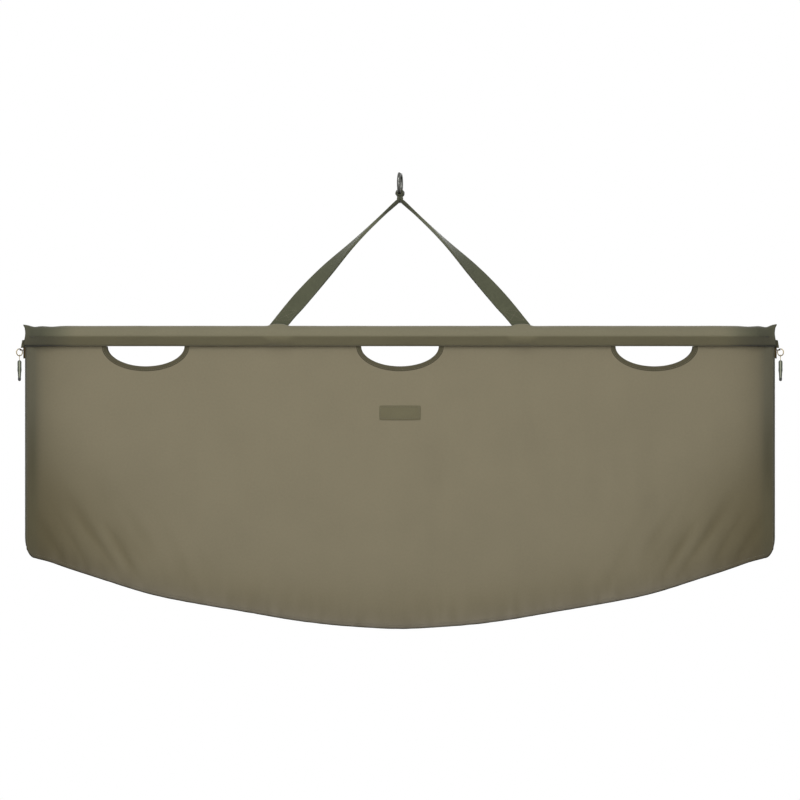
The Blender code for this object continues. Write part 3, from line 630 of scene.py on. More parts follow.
def finish_piece(piece, finish, slot, body, *nodes):
    """Gives a piece its material and body, smooths it, and hides the solids it stands for; the slot is not
    used.
    """
    piece.data.materials.clear()
    piece.data.materials.append(finish_named(finish))
    for face in piece.data.polygons:
        face.use_smooth = True
    if nodes:
        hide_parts(*nodes)
    if body:
        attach(piece, body)
    return piece


def sharp_by_angle(piece, degrees=35):
    """Smooths over the edges that turn by less than the angle, and leaves the others sharp."""
    pick(piece)
    bpy.ops.object.shade_smooth_by_angle(angle=math.radians(degrees))


def bend_to_keel(piece, where):
    """Puts a piece's place into its mesh, the same way for the front and the rear."""
    if where == "front":
        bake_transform(piece)
    else:
        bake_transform(piece)


# The straps' lines
def strap_middle_x(down):
    """How far out a bowed strap's middle line runs, at a share of the way down it."""
    return mix(sewn_x, STRAP_FOOT_X, down) + 4 * STRAP_BOW * down * (1 - down)


def strap_lean(down):
    """How far a strap runs out for each metre that it drops."""
    return (STRAP_FOOT_X - sewn_x + 4 * STRAP_BOW * (1 - 2 * down)) / (sewn_end_z - foot_z)


def foot_half_width():
    """Half the width along the pole of a strap's foot, whose webbing crosses it aslant."""
    return sizes().webbing_width / 2 * FOOT_NARROWS * math.hypot(1, strap_lean(1))


def strap_row(down):
    """Centre, half width and thickness of a front right strap, at a share of the way down it."""
    centre = Vector((
        strap_middle_x(down), -mix(sewn_depth, POLE_DEPTH, down), mix(strap_top_z, foot_z, down)))
    slope = strap_lean(down)
    twist = math.pi / 2 * smooth_between(down, *TWIST_SHARES)
    inward = Vector((-1, 0, -slope)) / math.hypot(1, slope)
    level = Vector((-FOOT_NARROWS * math.hypot(1, slope), 0, 0))
    inward = inward.lerp(level, smooth_between(down, *FOOT_SQUARE_SHARES))
    opened = smooth_between(down, *OPEN_OUT_SHARES)
    half = mix(SEWN_WIDTH, sizes().webbing_width, opened) / 2
    across = half * (Vector((0, -math.cos(twist), 0)) + inward * math.sin(twist))
    gathered = mix(STRAP_TOP_THICKNESS, GATHERED_THICKNESS, smooth(down / GATHERED_SHARE))
    return centre, across, mix(gathered, WEBBING_THICKNESS, opened)


def neck_rows():
    """Centres, half widths and thicknesses of a front right strap's top, sewn up beside the loop's tongue."""
    direction = Vector((STRAP_FOOT_X - sewn_x + 4 * STRAP_BOW, 0, foot_z - strap_top_z)).normalized()
    turned = math.atan2(direction.x, -direction.z)
    meet_z = strap_top_z + (NECK_X - sewn_x) * direction.z / direction.x
    tangent = NECK_TURN_RADIUS * math.tan(turned / 2)
    rows = []
    for step in range(9):
        share = step / 8
        z = mix(bar_z - NECK_BELOW_BAR, meet_z + tangent, share)
        widened = smooth(share * 1.15)
        centre = Vector((
            NECK_X + NECK_TOP_OUT * (1 - widened), -mix(NECK_TOP_DEPTH, sewn_depth, widened), z))
        rows.append((centre, Vector((0, -mix(NECK_TOP_HALF_WIDTH, SEWN_WIDTH / 2, widened), 0)),
                     mix(NECK_TOP_THICKNESS, NECK_THICKNESS, smooth(share * 2))))
    for step in range(1, 8):
        angle = turned * step / 7
        centre = Vector((NECK_X + NECK_TURN_RADIUS * (1 - math.cos(angle)), -sewn_depth,
                         meet_z + tangent - NECK_TURN_RADIUS * math.sin(angle)))
        rows.append((centre, Vector((0, -SEWN_WIDTH / 2, 0)),
                     mix(NECK_THICKNESS, STRAP_TOP_THICKNESS, step / 7)))
    return rows


# The cloth's shape
def sleeve_section(x):
    """Height and depth of a sleeve's outside: round over the pole, pressed flat past its end."""
    share = smooth_between(abs(x), POLE_END_X, SLING_HALF)
    return mix(SLEEVE_DIAMETER, SLEEVE_END_HEIGHT, share), mix(SLEEVE_DIAMETER, SLEEVE_END_DEPTH, share)


def sleeve_depth(x):
    apart = 2 * POLE_DEPTH - SLEEVE_DIAMETER
    return (sleeve_section(x)[1] + apart) / 2


def drawn_in(turn, share):
    """The hanging cloth pulls a sleeve flat between the pole's widest place and the seam below it."""
    outward, down = abs(math.sin(turn)), math.cos(turn)
    if down <= 0 or outward < 0.25:
        return 1.0
    flat = FLAT_SHARE / (outward * FLAT_OUTWARD + down * FLAT_DOWN)
    return mix(1.0, min(flat, 1.0), share)


def panel_top(x):
    return POLE_Z - sleeve_section(x)[0] / 2 - TOUCH_GAP


def panel_bottom(x):
    """The bottom seam's curve, with the slack that its stitching has left in it."""
    x = abs(x)
    slack = sum(lift * bump(x, middle, width) for lift, middle, width in SEAM_SLACK)
    slack -= CORNER_SAG * smooth((x - CORNER_SAG_X) / CORNER_SAG_REACH)
    return bottom_z + CORNER_RISE * (x / PANEL_HALF) ** BOTTOM_CURVE_POWER + slack * MM


def panel_seed(side):
    """Gives each panel folds of its own."""
    return 3.1 if side < 0 else 17.7


def corner_creases(x, z, seed):
    """Steep creases over the seam near a bottom corner, leaning out as they rise, from -1 to 1."""
    across = CREASES_UPRIGHT * abs(x) - CREASES_LEANING * (z - bottom_z)
    along = CREASES_UPRIGHT * z + CREASES_LEANING * abs(x)
    sharp = CREASES_STRENGTH * ripple(across, along, *CORNER_CREASES[1:], seed + 21)
    above = max(z - panel_bottom(x), 0.0)
    near = bump(abs(x), CREASES_X, CREASES_SPREAD) * fade(above, CREASES_HEIGHT, 2)
    return (sharp - CREASES_SHARPNESS * abs(sharp)) * near


def seam_puckers(x, z, seed):
    """Short puckers that the bottom seam draws into the cloth above it, about -1 to 1."""
    above = max(z - panel_bottom(x), 0.0)
    return fade(above, SEAM_PUCKERS_REACH) * ripple(x, z, *SEAM_PUCKERS[1:], seed + 13)


def panel_depth(x, z, side):
    """How far a panel's cloth lies from the middle plane, with its folds, creases and puckers."""
    across = min(abs(x), PANEL_HALF)
    top, low = panel_top(across), panel_bottom(across)
    down = min(max((top - z) / (top - low), 0.0), 1.0)
    lowest = mix(KEEL_DEPTH, CORNER_DEPTH, smooth_between(across / PANEL_HALF, CORNER_EASE_SHARE, 1))
    depth = mix(sleeve_depth(0), lowest, down)
    hanging = math.sin(math.pi * down)
    edge = smooth((PANEL_HALF - across) / FOLDS_START)
    depth += sizes().belly * math.sin(math.pi * down ** BELLY_POWER)
    rolled = max(across - (COIL_X - ROLL_WIDTH), 0.0) / ROLL_WIDTH
    depth = mix(lowest, depth, math.sqrt(max(1 - rolled ** ROLL_POWER, 0.0)))
    seed = panel_seed(side)
    fold = sizes().fold_depth * hanging * math.cos(math.tau * x / sizes().fold_spacing)
    fold *= 1 - smooth(across / PANEL_HALF)
    leaned = x + FOLDS_LEAN * (z - low)
    fold += BROAD_FOLDS[0] * hanging * edge * ripple(leaned, z, *BROAD_FOLDS[1:], seed)
    fold += NARROW_FOLDS[0] * hanging * edge * ripple(x, z, *NARROW_FOLDS[1:], seed + 5)
    fold += CORNER_CREASES[0] * corner_creases(x, z, seed) * smooth((1 - down) * 12)
    near_top = fade(top - z, TOP_PUCKERS_REACH) * smooth((top - z) / TOP_PUCKERS_START)
    fold += TOP_PUCKERS[0] * near_top * ripple(x, z, *TOP_PUCKERS[1:], seed + 9)
    fold += SEAM_PUCKERS[0] * smooth((z - low) / SEAM_PUCKERS_START) * seam_puckers(x, z, seed)
    return depth + fold


def hand_hole_dip(x, margin):
    """How far a hand hole's outline, widened by a margin, reaches below the sleeve's seam at x."""
    reach = HAND_HOLE_WIDTH / 2 + margin
    for middle in (-HAND_HOLE_X, 0, HAND_HOLE_X):
        share = (x - middle) / reach
        if abs(share) < 1:
            return (HAND_HOLE_DEPTH + margin) * math.sqrt(1 - share * share)
    return 0.0


def panel_columns():
    """Places along half a panel, close together where a hand hole's outline is steep."""
    reach = HAND_HOLE_WIDTH / 2 + UNDER_BINDING
    places = [reach * math.sin(math.pi / 2 * step / 16) for step in range(17)]
    hole_start, hole_end = HAND_HOLE_X - reach, HAND_HOLE_X + reach
    count = 66
    places += [mix(reach, hole_start, step / count) for step in range(1, count)]
    places += [HAND_HOLE_X - reach * math.cos(math.pi * step / 32) for step in range(33)]
    count = 27
    places += [mix(hole_end, PANEL_HALF, step / count) for step in range(1, count + 1)]
    return places


def corner_edge(past):
    """The lowest place of the cloth, past the panel's side by so much."""
    share = min(max(past / CORNER_REACH_ACROSS, 0.0), 1.0)
    return corner_centre_z - CORNER_REACH_DOWN * math.sqrt(1 - share * share)


def corner_shift(z):
    """How far the rounded bottom corner draws the teeth in from their line."""
    below = max(corner_centre_z - z, 0.0) / CORNER_REACH_DOWN
    return CORNER_REACH_ACROSS * (1 - math.sqrt(max(1 - below * below, 0.0)))


def hem_point(side, end, across, down):
    """A place on the cloth that turns in to the zip: across is 1 at the panel and 0 at the teeth."""
    turn = math.pi / 2 * across
    x = mix(PANEL_HALF + TOUCH_GAP, COIL_X, math.cos(turn))
    top = POLE_Z - SLEEVE_END_HEIGHT / 2 + 1.2 * MM
    z = mix(top, corner_edge(x - PANEL_HALF), down)
    depth = mix(TAPE_START_DEPTH, panel_depth(PANEL_HALF, z, side), math.sin(turn))
    depth += 0.35 * MM * math.sin(math.pi * across) * ripple(z, across, 14 * MM, 1, 2.5 + side)
    return Vector((end * x, side * depth, z))


# Painted shade and highlights
def painted_shading(piece, tone_at):
    """Paints shade and highlights into a piece from place to place: tone_at(point) gives what each colour is
    multiplied by.
    """
    tones = piece.data.attributes.new("painted_shading", "FLOAT_COLOR", "POINT")
    values = []
    for vertex in piece.data.vertices:
        values += [*tone_at(vertex.co), 1.0]
    tones.data.foreach_set("color", values)


def panel_painted_shading(point):
    """Painted shade: the cloth is painted darker towards its ends, corners and bottom seam, in a strip beside
    the hem, under the sleeve and in its creases, with a painted highlight just below the sleeve.
    """
    from_end = max(PANEL_HALF - abs(point.x), 0.0)
    from_seam = max(point.z - panel_bottom(point.x), 0.0)
    from_sleeve = max(panel_top(point.x) - point.z, 0.0)
    low = smooth((LOW_FROM_Z - point.z) / LOW_REACH)
    # Painted shade towards the ends, the bottom corners and the bottom seam
    ends = 1 - mix(*CORNER_DARKER, low) * fade(from_end, mix(*CORNER_DARK_REACH, low), mix(1.0, 1.5, low))
    seam = 1 - SEAM_DARKER * fade(from_seam, SEAM_DARK_REACH, 1.5)
    # Painted shadow under the sleeve, with a painted highlight just below it
    under_sleeve = 1 - SLEEVE_SHADE * fade(from_sleeve, SLEEVE_SHADE_REACH)
    under_sleeve += SLEEVE_GLOW * fade(from_sleeve, SLEEVE_GLOW_REACH)
    # Painted shade at the panel's end and in a strip beside the hem
    edge = 1 - mix(*EDGE_DARKER, low) * fade(from_end, EDGE_DARK_REACH)
    hem_shade = HEM_STRIP_SHADE[0] * (1 - low)
    hem_shade += HEM_STRIP_SHADE[1] * bump(point.z, HEM_STRIP_SHADE_Z, HEM_STRIP_SHADE_REACH)
    edge *= 1 - hem_shade * bump(abs(point.x), HEM_STRIP_X, HEM_STRIP_WIDTH)
    seed = panel_seed(point.y)
    # Painted shade and highlights along the corner creases and seam puckers
    creased = 1 + 0.28 * corner_creases(point.x, point.z, seed) + 0.2 * seam_puckers(point.x, point.z, seed)
    level = ends * edge * seam * under_sleeve * creased
    # Greener beside the zip, and paler and greyer along the bottom rim
    green = fade(from_end, 7 * MM)
    rim = low * fade(from_seam, 12 * MM)
    return (level * (1 - 0.02 * green) * (1 + 0.22 * rim),
            level ** (1 + 0.07 * low) * (1 + 0.04 * green) * (1 + 0.26 * rim),
            level ** (1.08 + 0.3 * low) * (1 + 0.12 * green) * (1 + 0.6 * rim))


def sleeve_painted_shading(point):
    """Painted shade: the sleeve is painted darker and greener towards its flattened ends, darker and browner
    on its lower half, and darker still along its lower lip, as a painted shadow.
    """
    ends = smooth((abs(point.x) - SLEEVE_END_SHADE_X) / SLEEVE_END_SHADE_REACH)
    under = smooth((POLE_Z + 1 * MM - point.z) / SLEEVE_UNDER_REACH)
    level = (1 - mix(*SLEEVE_END_SHADE, under) * ends) * (1 - SLEEVE_UNDER_DARKER * under)
    # Painted shadow along the lower lip, deepest towards the ends
    lip = smooth((POLE_Z - SLEEVE_LIP_BELOW - point.z) / SLEEVE_LIP_REACH)
    end_shade = smooth((abs(point.x) - SLEEVE_END_SHADE_X) / SLEEVE_LIP_SHADE_REACH)
    level *= 1 - lip * (SLEEVE_LIP_DARKER[0] + SLEEVE_LIP_DARKER[1] * end_shade)
    green, brown = ends * (1 - 0.6 * under), under * (1 - ends)
    return level * (1 - 0.08 * green), level * (1 - 0.02 * brown), level * (1 - 0.02 * green - 0.12 * brown)


def webbing_painted_shading(point):
    """Painted shade and sheen: webbing is painted dark where it is gathered under the ring and on its
    underside there, and painted paler and greyer where it twists, as a painted sheen.
    """
    gathered = smooth((point.z - GATHERED_Z) / GATHERED_REACH)
    # Painted sheen where the straps twist
    wear_and_sheen = bump(point.z, SHEEN_Z, SHEEN_REACH)
    paler, greyed = LEFT_SHEEN if point.x < 0 else RIGHT_SHEEN
    shaded_to = LEFT_SHADED_TO if point.x < 0 else RIGHT_SHADED_TO
    level = mix(WEBBING_TONE, GATHERED_TONE, gathered) + paler * wear_and_sheen * (1 - gathered)
    down = (strap_top_z - point.z) / (strap_top_z - foot_z)
    # Painted shade on the straps' undersides near the ring
    under = smooth((strap_middle_x(down) + 0.4 * MM - abs(point.x)) / (1.6 * MM))
    level *= 1 - UNDERSIDE_DARKER * under * (1 - smooth(abs(point.x) / shaded_to - 1))
    return level, level, level * (1 + greyed * wear_and_sheen)


# Stitching
def stitch_places(points, pitch):
    """Evenly spaced (centre, direction) pairs along a line of points."""
    lengths = [0.0]
    for first, second in zip(points, points[1:]):
        lengths.append(lengths[-1] + (second - first).length)
    count = max(int(lengths[-1] / pitch), 1)
    found = []
    piece = 0
    for step in range(count):
        at = (step + 0.5) * lengths[-1] / count
        while lengths[piece + 1] < at:
            piece += 1
        start, end = points[piece], points[piece + 1]
        share = (at - lengths[piece]) / max(lengths[piece + 1] - lengths[piece], 1e-9)
        found.append((start.lerp(end, share), (end - start).normalized()))
    return found


def stitch_row(name, lines, outward, slot, body, pitch=None):
    """Rows of short thread stitches along lines of points, lying on a surface that faces outward."""
    pitch = pitch or sizes().stitch_pitch
    deselect()
    bpy.ops.mesh.primitive_uv_sphere_add(segments=6, ring_count=4, radius=1)
    pattern = bpy.context.object
    rows = bmesh.new()
    for line in lines:
        for centre, along in stitch_places(line, pitch):
            across = outward.cross(along).normalized()
            up = along.cross(across).normalized()
            start = len(rows.verts)
            rows.from_mesh(pattern.data)
            rows.verts.ensure_lookup_table()
            for vertex in rows.verts[start:]:
                x, y = vertex.co.x * THREAD_HALF_WIDTH, vertex.co.y * THREAD_HALF_HEIGHT
                z = vertex.co.z * pitch * THREAD_HALF_SHARE
                vertex.co = centre + across * x + up * (y + THREAD_LIFT) + along * z
    bpy.ops.object.delete()
    mesh = bpy.data.meshes.new(name)
    rows.to_mesh(mesh)
    rows.free()
    piece = bpy.data.objects.new(name, mesh)
    bpy.context.scene.collection.objects.link(piece)
    return finish_piece(piece, "thread", slot, body)


def line_on_panel(side, end, start, stop, steps, height_at):
    """A line of points on the face of a panel's cloth, from start to stop along it."""
    out = sizes().cloth_thickness / 2 + 0.15 * MM
    line = []
    for step in range(steps + 1):
        x = end * mix(start, stop, step / steps)
        z = height_at(x)
        line.append(Vector((x, side * (panel_depth(x, z, side) + out), z)))
    return line


# Operators
class OBJECT_OT_sling_ring(bpy.types.Operator):
    """Models the hang ring and the webbing loop folded round it"""

    bl_idname = "object.sling_ring"
    bl_label = "Hang ring and loop"

    WRAP_AROUND = 48
    WRAP_ALONG = 28
    WRAP_SPAN = math.radians(24)
    # How far the wrap reaches from the wire: out at the side, at its waist, inside the ring and below it
    WRAP_REACH, WRAP_WAIST, WRAP_INSIDE, WRAP_BELOW = 7.4 * MM, 6.6 * MM, 7.8 * MM, 7.6 * MM
    WRAP_CLEARS_WIRE = 0.15 * MM
    WRAP_END_POWER = 3.2

    def execute(self, context):
        ring = start_from(
            bpy.ops.mesh.primitive_torus_add, "wire_ring", major_radius=ring_radius,
            minor_radius=RING_WIRE / 2, major_segments=96, minor_segments=28,
            location=(0, 0, -HANG_BORE / 2), rotation=(0, math.pi / 2, RING_TURN))
        finish_piece(ring, "gunmetal", "gunmetal", "ring", "hang_ring")
        self.loop()
        return {"FINISHED"}

    def loop(self):
        """The tongue that hangs from the wire, and the webbing wound round the wire above it."""
        tongue_top, tongue_end = bar_z - 3.4 * MM, neck_z - TONGUE_LENGTH

        def on_tongue(column, row):
            y = mix(-LOOP_WIDTH / 2, LOOP_WIDTH / 2, column / 10)
            z = mix(tongue_top, tongue_end, row / 12)
            return Vector((0.15 * MM * math.sin(row * 1.1), y, z)), (y, z)

        tongue = cloth_grid("webbing_loop", 10, 12, on_tongue)
        give_wall(tongue, TONGUE_THICKNESS - 0.2 * MM)
        apply_modifier(tongue, "BEVEL", width=0.35 * MM, segments=2, limit_method="ANGLE")
        painted_shading(tongue, webbing_painted_shading)
        finish_piece(tongue, "webbing", "webbing", "loop", "ring_loop")

        def on_wrap(column, row):
            turn = math.tau * column / self.WRAP_AROUND
            if row <= self.WRAP_ALONG:
                share = 2 * row / self.WRAP_ALONG - 1
                rounded = math.sqrt(max(1 - abs(share) ** self.WRAP_END_POWER, 0))
                fold = 1 + 0.04 * math.cos(4 * turn + 0.6) + 0.03 * math.sin(7 * turn + 2 * share)
                crease = 1 - 0.2 * math.exp(-(min(turn, math.tau - turn) / 0.2) ** 2)
                low = smooth(0.5 + 0.5 * math.cos(turn))
                waist = mix(self.WRAP_WAIST, self.WRAP_REACH, abs(share))
                side_reach = mix(self.WRAP_REACH, waist, low) * fold
                below = mix(self.WRAP_BELOW, self.WRAP_WAIST, abs(share))
                down_reach = mix(self.WRAP_INSIDE, below, low) * fold * crease
                side_reach = mix(RING_WIRE / 2 + 2 * self.WRAP_CLEARS_WIRE, side_reach, rounded)
                down_reach = mix(RING_WIRE / 2 + 2 * self.WRAP_CLEARS_WIRE, down_reach, rounded)
            else:
                share = 1 - 2 * (row - self.WRAP_ALONG) / self.WRAP_ALONG
                side_reach = down_reach = RING_WIRE / 2 + self.WRAP_CLEARS_WIRE
            angle = self.WRAP_SPAN * share
            radius = ring_radius + down_reach * math.cos(turn)
            point = Vector((side_reach * math.sin(turn), radius * math.sin(angle),
                            -HANG_BORE / 2 - radius * math.cos(angle)))
            return Matrix.Rotation(RING_TURN, 3, "Z") @ point, (ring_radius * angle, turn * 7 * MM)

        wrap = cloth_grid("webbing_wrap", self.WRAP_AROUND, 2 * self.WRAP_ALONG, on_wrap)
        edit(wrap, weld, face_out)
        painted_shading(wrap, webbing_painted_shading)
        finish_piece(wrap, "webbing", "webbing", "ring")


class OBJECT_OT_sling_straps(bpy.types.Operator):
    """Models the four bridle straps, folded at the top and box stitched round the poles"""

    bl_idname = "object.sling_straps"
    bl_label = "Bridle straps"

    ROWS = 150
    COLUMNS = 10

    def execute(self, context):
        for where, side in SIDES:
            for hand, end in HANDS:
                self.strap(where, side, hand, end)
        return {"FINISHED"}

    def strap(self, where, side, hand, end):
        """One strap, from its gathered top to the band round the pole."""
        width = sizes().webbing_width
        mirror = Vector((end, -side, 1))
        thicknesses = {}
        length = math.hypot(STRAP_FOOT_X, sewn_end_z - foot_z)
        neck = neck_rows()
        neck_end = (neck[-1][0].x - sewn_x) / (STRAP_FOOT_X - sewn_x + 4 * STRAP_BOW) + 0.004

        def place(column, row):
            across = column / self.COLUMNS
            if row < len(neck):
                centre, half, thickness = neck[row]
                down = (row - len(neck)) * 1.5 * MM / length
            else:
                down = mix(neck_end, 1, (row - len(neck)) / (self.ROWS - len(neck)))
                centre, half, thickness = strap_row(down)
                folded = centre.z < foot_z + FOOT_FOLD_LENGTH
                thickness = 2 * WEBBING_THICKNESS if folded else thickness
            thicknesses[(column, row)] = thickness / (6 * MM)
            point = (centre + half * (2 * across - 1)) * mirror
            return point, (across * width, down * length)

        strap = cloth_grid(f"{where}_{hand}_webbing_strap", self.COLUMNS, self.ROWS, place)
        group = strap.vertex_groups.new(name="layers")
        for index in range(len(strap.data.vertices)):
            row, column = divmod(index, self.COLUMNS + 1)
            group.add([index], thicknesses[(column, self.ROWS - row)], "REPLACE")
        give_wall(strap, 6 * MM, group=group.name)
        strap.vertex_groups.clear()
        strap = join(strap, self.foot(end, side))
        apply_modifier(strap, "BEVEL", width=0.3 * MM, segments=2, limit_method="ANGLE",
                       angle_limit=math.radians(50))
        painted_shading(strap, webbing_painted_shading)
        finish_piece(strap, "webbing", "webbing", where + "_bridle", f"{where}_{hand}_strap")
        sharp_by_angle(strap, 40)
        self.box_stitch(where, side, hand, end)

    def foot(self, end, side):
        """The band of webbing that turns round the pole."""
        half = foot_half_width()
        radius = POLE_RADIUS + TOUCH_GAP + WEBBING_THICKNESS / 2

        def place(column, row):
            turn = math.tau * row / 48
            x = end * STRAP_FOOT_X + mix(-half, half, column / 8)
            point = Vector((x, side * POLE_DEPTH + radius * math.sin(turn), POLE_Z + radius * math.cos(turn)))
            return point, (x, radius * turn)

        foot = cloth_grid("foot", 8, 48, place)
        edit(foot, weld, face_out)
        give_wall(foot, WEBBING_THICKNESS - 0.1 * MM)
        return foot

    def box_stitch(self, where, side, hand, end):
        """A stitched box with a cross in it on the folded foot, and bar tacks through the neck."""
        mirror = Vector((end, -side, 1))
        fold_start = 1 - FOOT_FOLD_LENGTH / (sewn_end_z - foot_z)

        def on_strap(across, down):
            half = sizes().webbing_width / 2 * FOOT_NARROWS * math.hypot(1, strap_lean(down))
            level = Vector((-half * (2 * across - 1), -WEBBING_THICKNESS - 0.1 * MM, 0))
            return (strap_row(down)[0] + level) * mirror

        left, right = 0.13, 0.87
        low, high = mix(fold_start, 1, 0.62), mix(fold_start, 1, 0.12)
        corners = [(left, high), (right, high), (right, low), (left, low), (left, high), (right, low)]
        lines = [[on_strap(*first), on_strap(*second)] for first, second in zip(corners, corners[1:])]
        lines.append([on_strap(left, low), on_strap(right, high)])
        body = where + "_bridle"
        stitch_row(f"{where}_{hand}_box_stitch", lines, Vector((0, side, 0)), "webbing", body, 2.8 * MM)
        neck = neck_rows()
        lines = []
        for row in (5, 6, 8):
            centre, half, thickness = neck[row]
            face = centre + Vector((thickness / 2 + 0.05 * MM, 0, 0))
            lines.append([(face - half * 0.85) * mirror, (face + half * 0.85) * mirror])
        stitch_row(f"{where}_{hand}_bar_tack", lines, Vector((end, 0, 0)), "webbing", body, 1.7 * MM)


class OBJECT_OT_sling_sleeves(bpy.types.Operator):
    """Models the two cloth sleeves, drawn over the poles, slotted for the straps and flat at their ends"""

    bl_idname = "object.sling_sleeves"
    bl_label = "Pole sleeves"

    # The cloth ruffles along the pole, more past its end, stands up in a lip before each strap's slot,
    # and is drawn out to a point at its mouth
    RUFFLE, END_RUFFLE, RUFFLE_AROUND = 0.5 * MM, 1.1 * MM, 16 * MM
    LIP_HEIGHT, MOUTH_LENGTH, MOUTH_POINT = 3.4 * MM, 16 * MM, 2 * MM
    MOUTH_LIFT = 1.4 * MM
    # Where the top sags past the pole: how far, and where along it
    SAGS = ((2.2 * MM, 584 * MM, 9 * MM), (1.2 * MM, 556 * MM, 12 * MM))

    def execute(self, context):
        for where, side in SIDES:
            self.sleeve(where, side)
        return {"FINISHED"}

    def sleeve(self, where, side):
        """One sleeve, cut open over each strap's foot."""
        slot_x = STRAP_FOOT_X - strap_lean(1) * (POLE_Z + SLEEVE_DIAMETER / 2 - foot_z)
        slot_half = foot_half_width() + SLOT_SIDE_CLEARANCE
        slot_front = WEBBING_THICKNESS + SLOT_FRONT_CLEARANCE
        slot_start = math.pi - math.asin(slot_front / (SLEEVE_DIAMETER / 2))
        slot_end = math.pi + SLOT_SWING
        half = [mix(0, slot_x - slot_half, step / 40) for step in range(40)]
        half += [mix(slot_x - slot_half, slot_x + slot_half, step / 10) for step in range(10)]
        half += [mix(slot_x + slot_half, POLE_END_X, step / 80) for step in range(80)]
        half += [mix(POLE_END_X, SLING_HALF, step / 16) for step in range(17)]
        places = [-x for x in reversed(half[1:])] + half
        turns = [slot_start * step / 30 for step in range(30)]
        turns += [mix(slot_start, slot_end, step / 8) for step in range(8)]
        turns += [mix(slot_end, math.tau, step / 18) for step in range(19)]
        seed = 41.0 if side < 0 else 67.0

        def place(column, row):
            x, turn = places[column], turns[row]
            height, depth = sleeve_section(x)
            sign = -1 if x < 0 else 1
            past = smooth_between(abs(x), POLE_END_X, SLING_HALF)
            mouth = smooth_between(abs(x), SLING_HALF - self.MOUTH_LENGTH, SLING_HALF)
            round_strap = math.exp(-((abs(x) - slot_x) / (slot_half * 1.35)) ** 6)
            drawn = drawn_in(turn, (1 - past) * (1 - round_strap))
            around = turn * self.RUFFLE_AROUND
            ruffle = self.RUFFLE * (0.5 + 0.5 * ripple(x, around, 40 * MM, 22 * MM, seed))
            ruffle += self.END_RUFFLE * past * ripple(x, around, 14 * MM, 14 * MM, seed + 3)
            lip = math.exp(-((abs(x) - slot_x) / (slot_half * 0.85)) ** 4)
            lip *= math.exp(-((turn - slot_start) / 0.3) ** 2) if turn <= slot_start + 0.001 else 0.0
            reach = ruffle + self.LIP_HEIGHT * lip
            edge_x = -self.MOUTH_POINT * mouth * bump(math.cos(turn), -0.25, 0.55)
            edge_x += self.MOUTH_POINT * mouth * smooth((-math.cos(turn) - 0.75) / 0.25)
            outer_depth = ((depth - SLEEVE_WALL) / 2 + reach) * drawn
            outer_height = ((height - SLEEVE_WALL) / 2 + reach) * drawn
            point = Vector((
                x + sign * edge_x, side * (sleeve_depth(x) + outer_depth * math.sin(turn)),
                POLE_Z - outer_height * math.cos(turn)))
            if math.pi / 2 < turn < 3 * math.pi / 2:
                point.z -= sum(drop * bump(abs(x), middle, width) for drop, middle, width in self.SAGS)
                point.z += self.MOUTH_LIFT * mouth * smooth((-math.cos(turn) - 0.6) / 0.4)
            point.z = max(point.z, POLE_Z - height / 2 + SLEEVE_WALL / 2)
            return point, (x, turn * SLEEVE_DIAMETER / 2)

        sleeve = cloth_grid(f"{where}_pole_sleeve", len(places) - 1, len(turns) - 1, place)
        self.cut_slots(sleeve, side, slot_x, slot_half, slot_front)
        edit(sleeve, weld, face_out)
        give_wall(sleeve, SLEEVE_WALL)
        painted_shading(sleeve, sleeve_painted_shading)
        body = where + "_side"
        finish_piece(sleeve, "sleeve", "sleeve_cloth", body, f"{where}_sleeve", f"{where}_left_sleeve_end",
                     f"{where}_right_sleeve_end")

    def cut_slots(self, sleeve, side, slot_x, slot_half, slot_front):
        """Opens the sleeve above the pole where the strap comes out and swings."""
        slot_back = -SLEEVE_DIAMETER / 2 * math.sin(SLOT_SWING)
        mesh = bmesh.new()
        mesh.from_mesh(sleeve.data)
        cut = []
        for face in mesh.faces:
            centre = face.calc_center_median()
            if abs(abs(centre.x) - slot_x) < slot_half and centre.z > POLE_Z:
                inner = (centre.y - side * POLE_DEPTH) * side
                if slot_back + 0.2 * MM < inner < slot_front - 0.2 * MM:
                    cut.append(face)
        bmesh.ops.delete(mesh, geom=cut, context="FACES")
        mesh.to_mesh(sleeve.data)
        mesh.free()


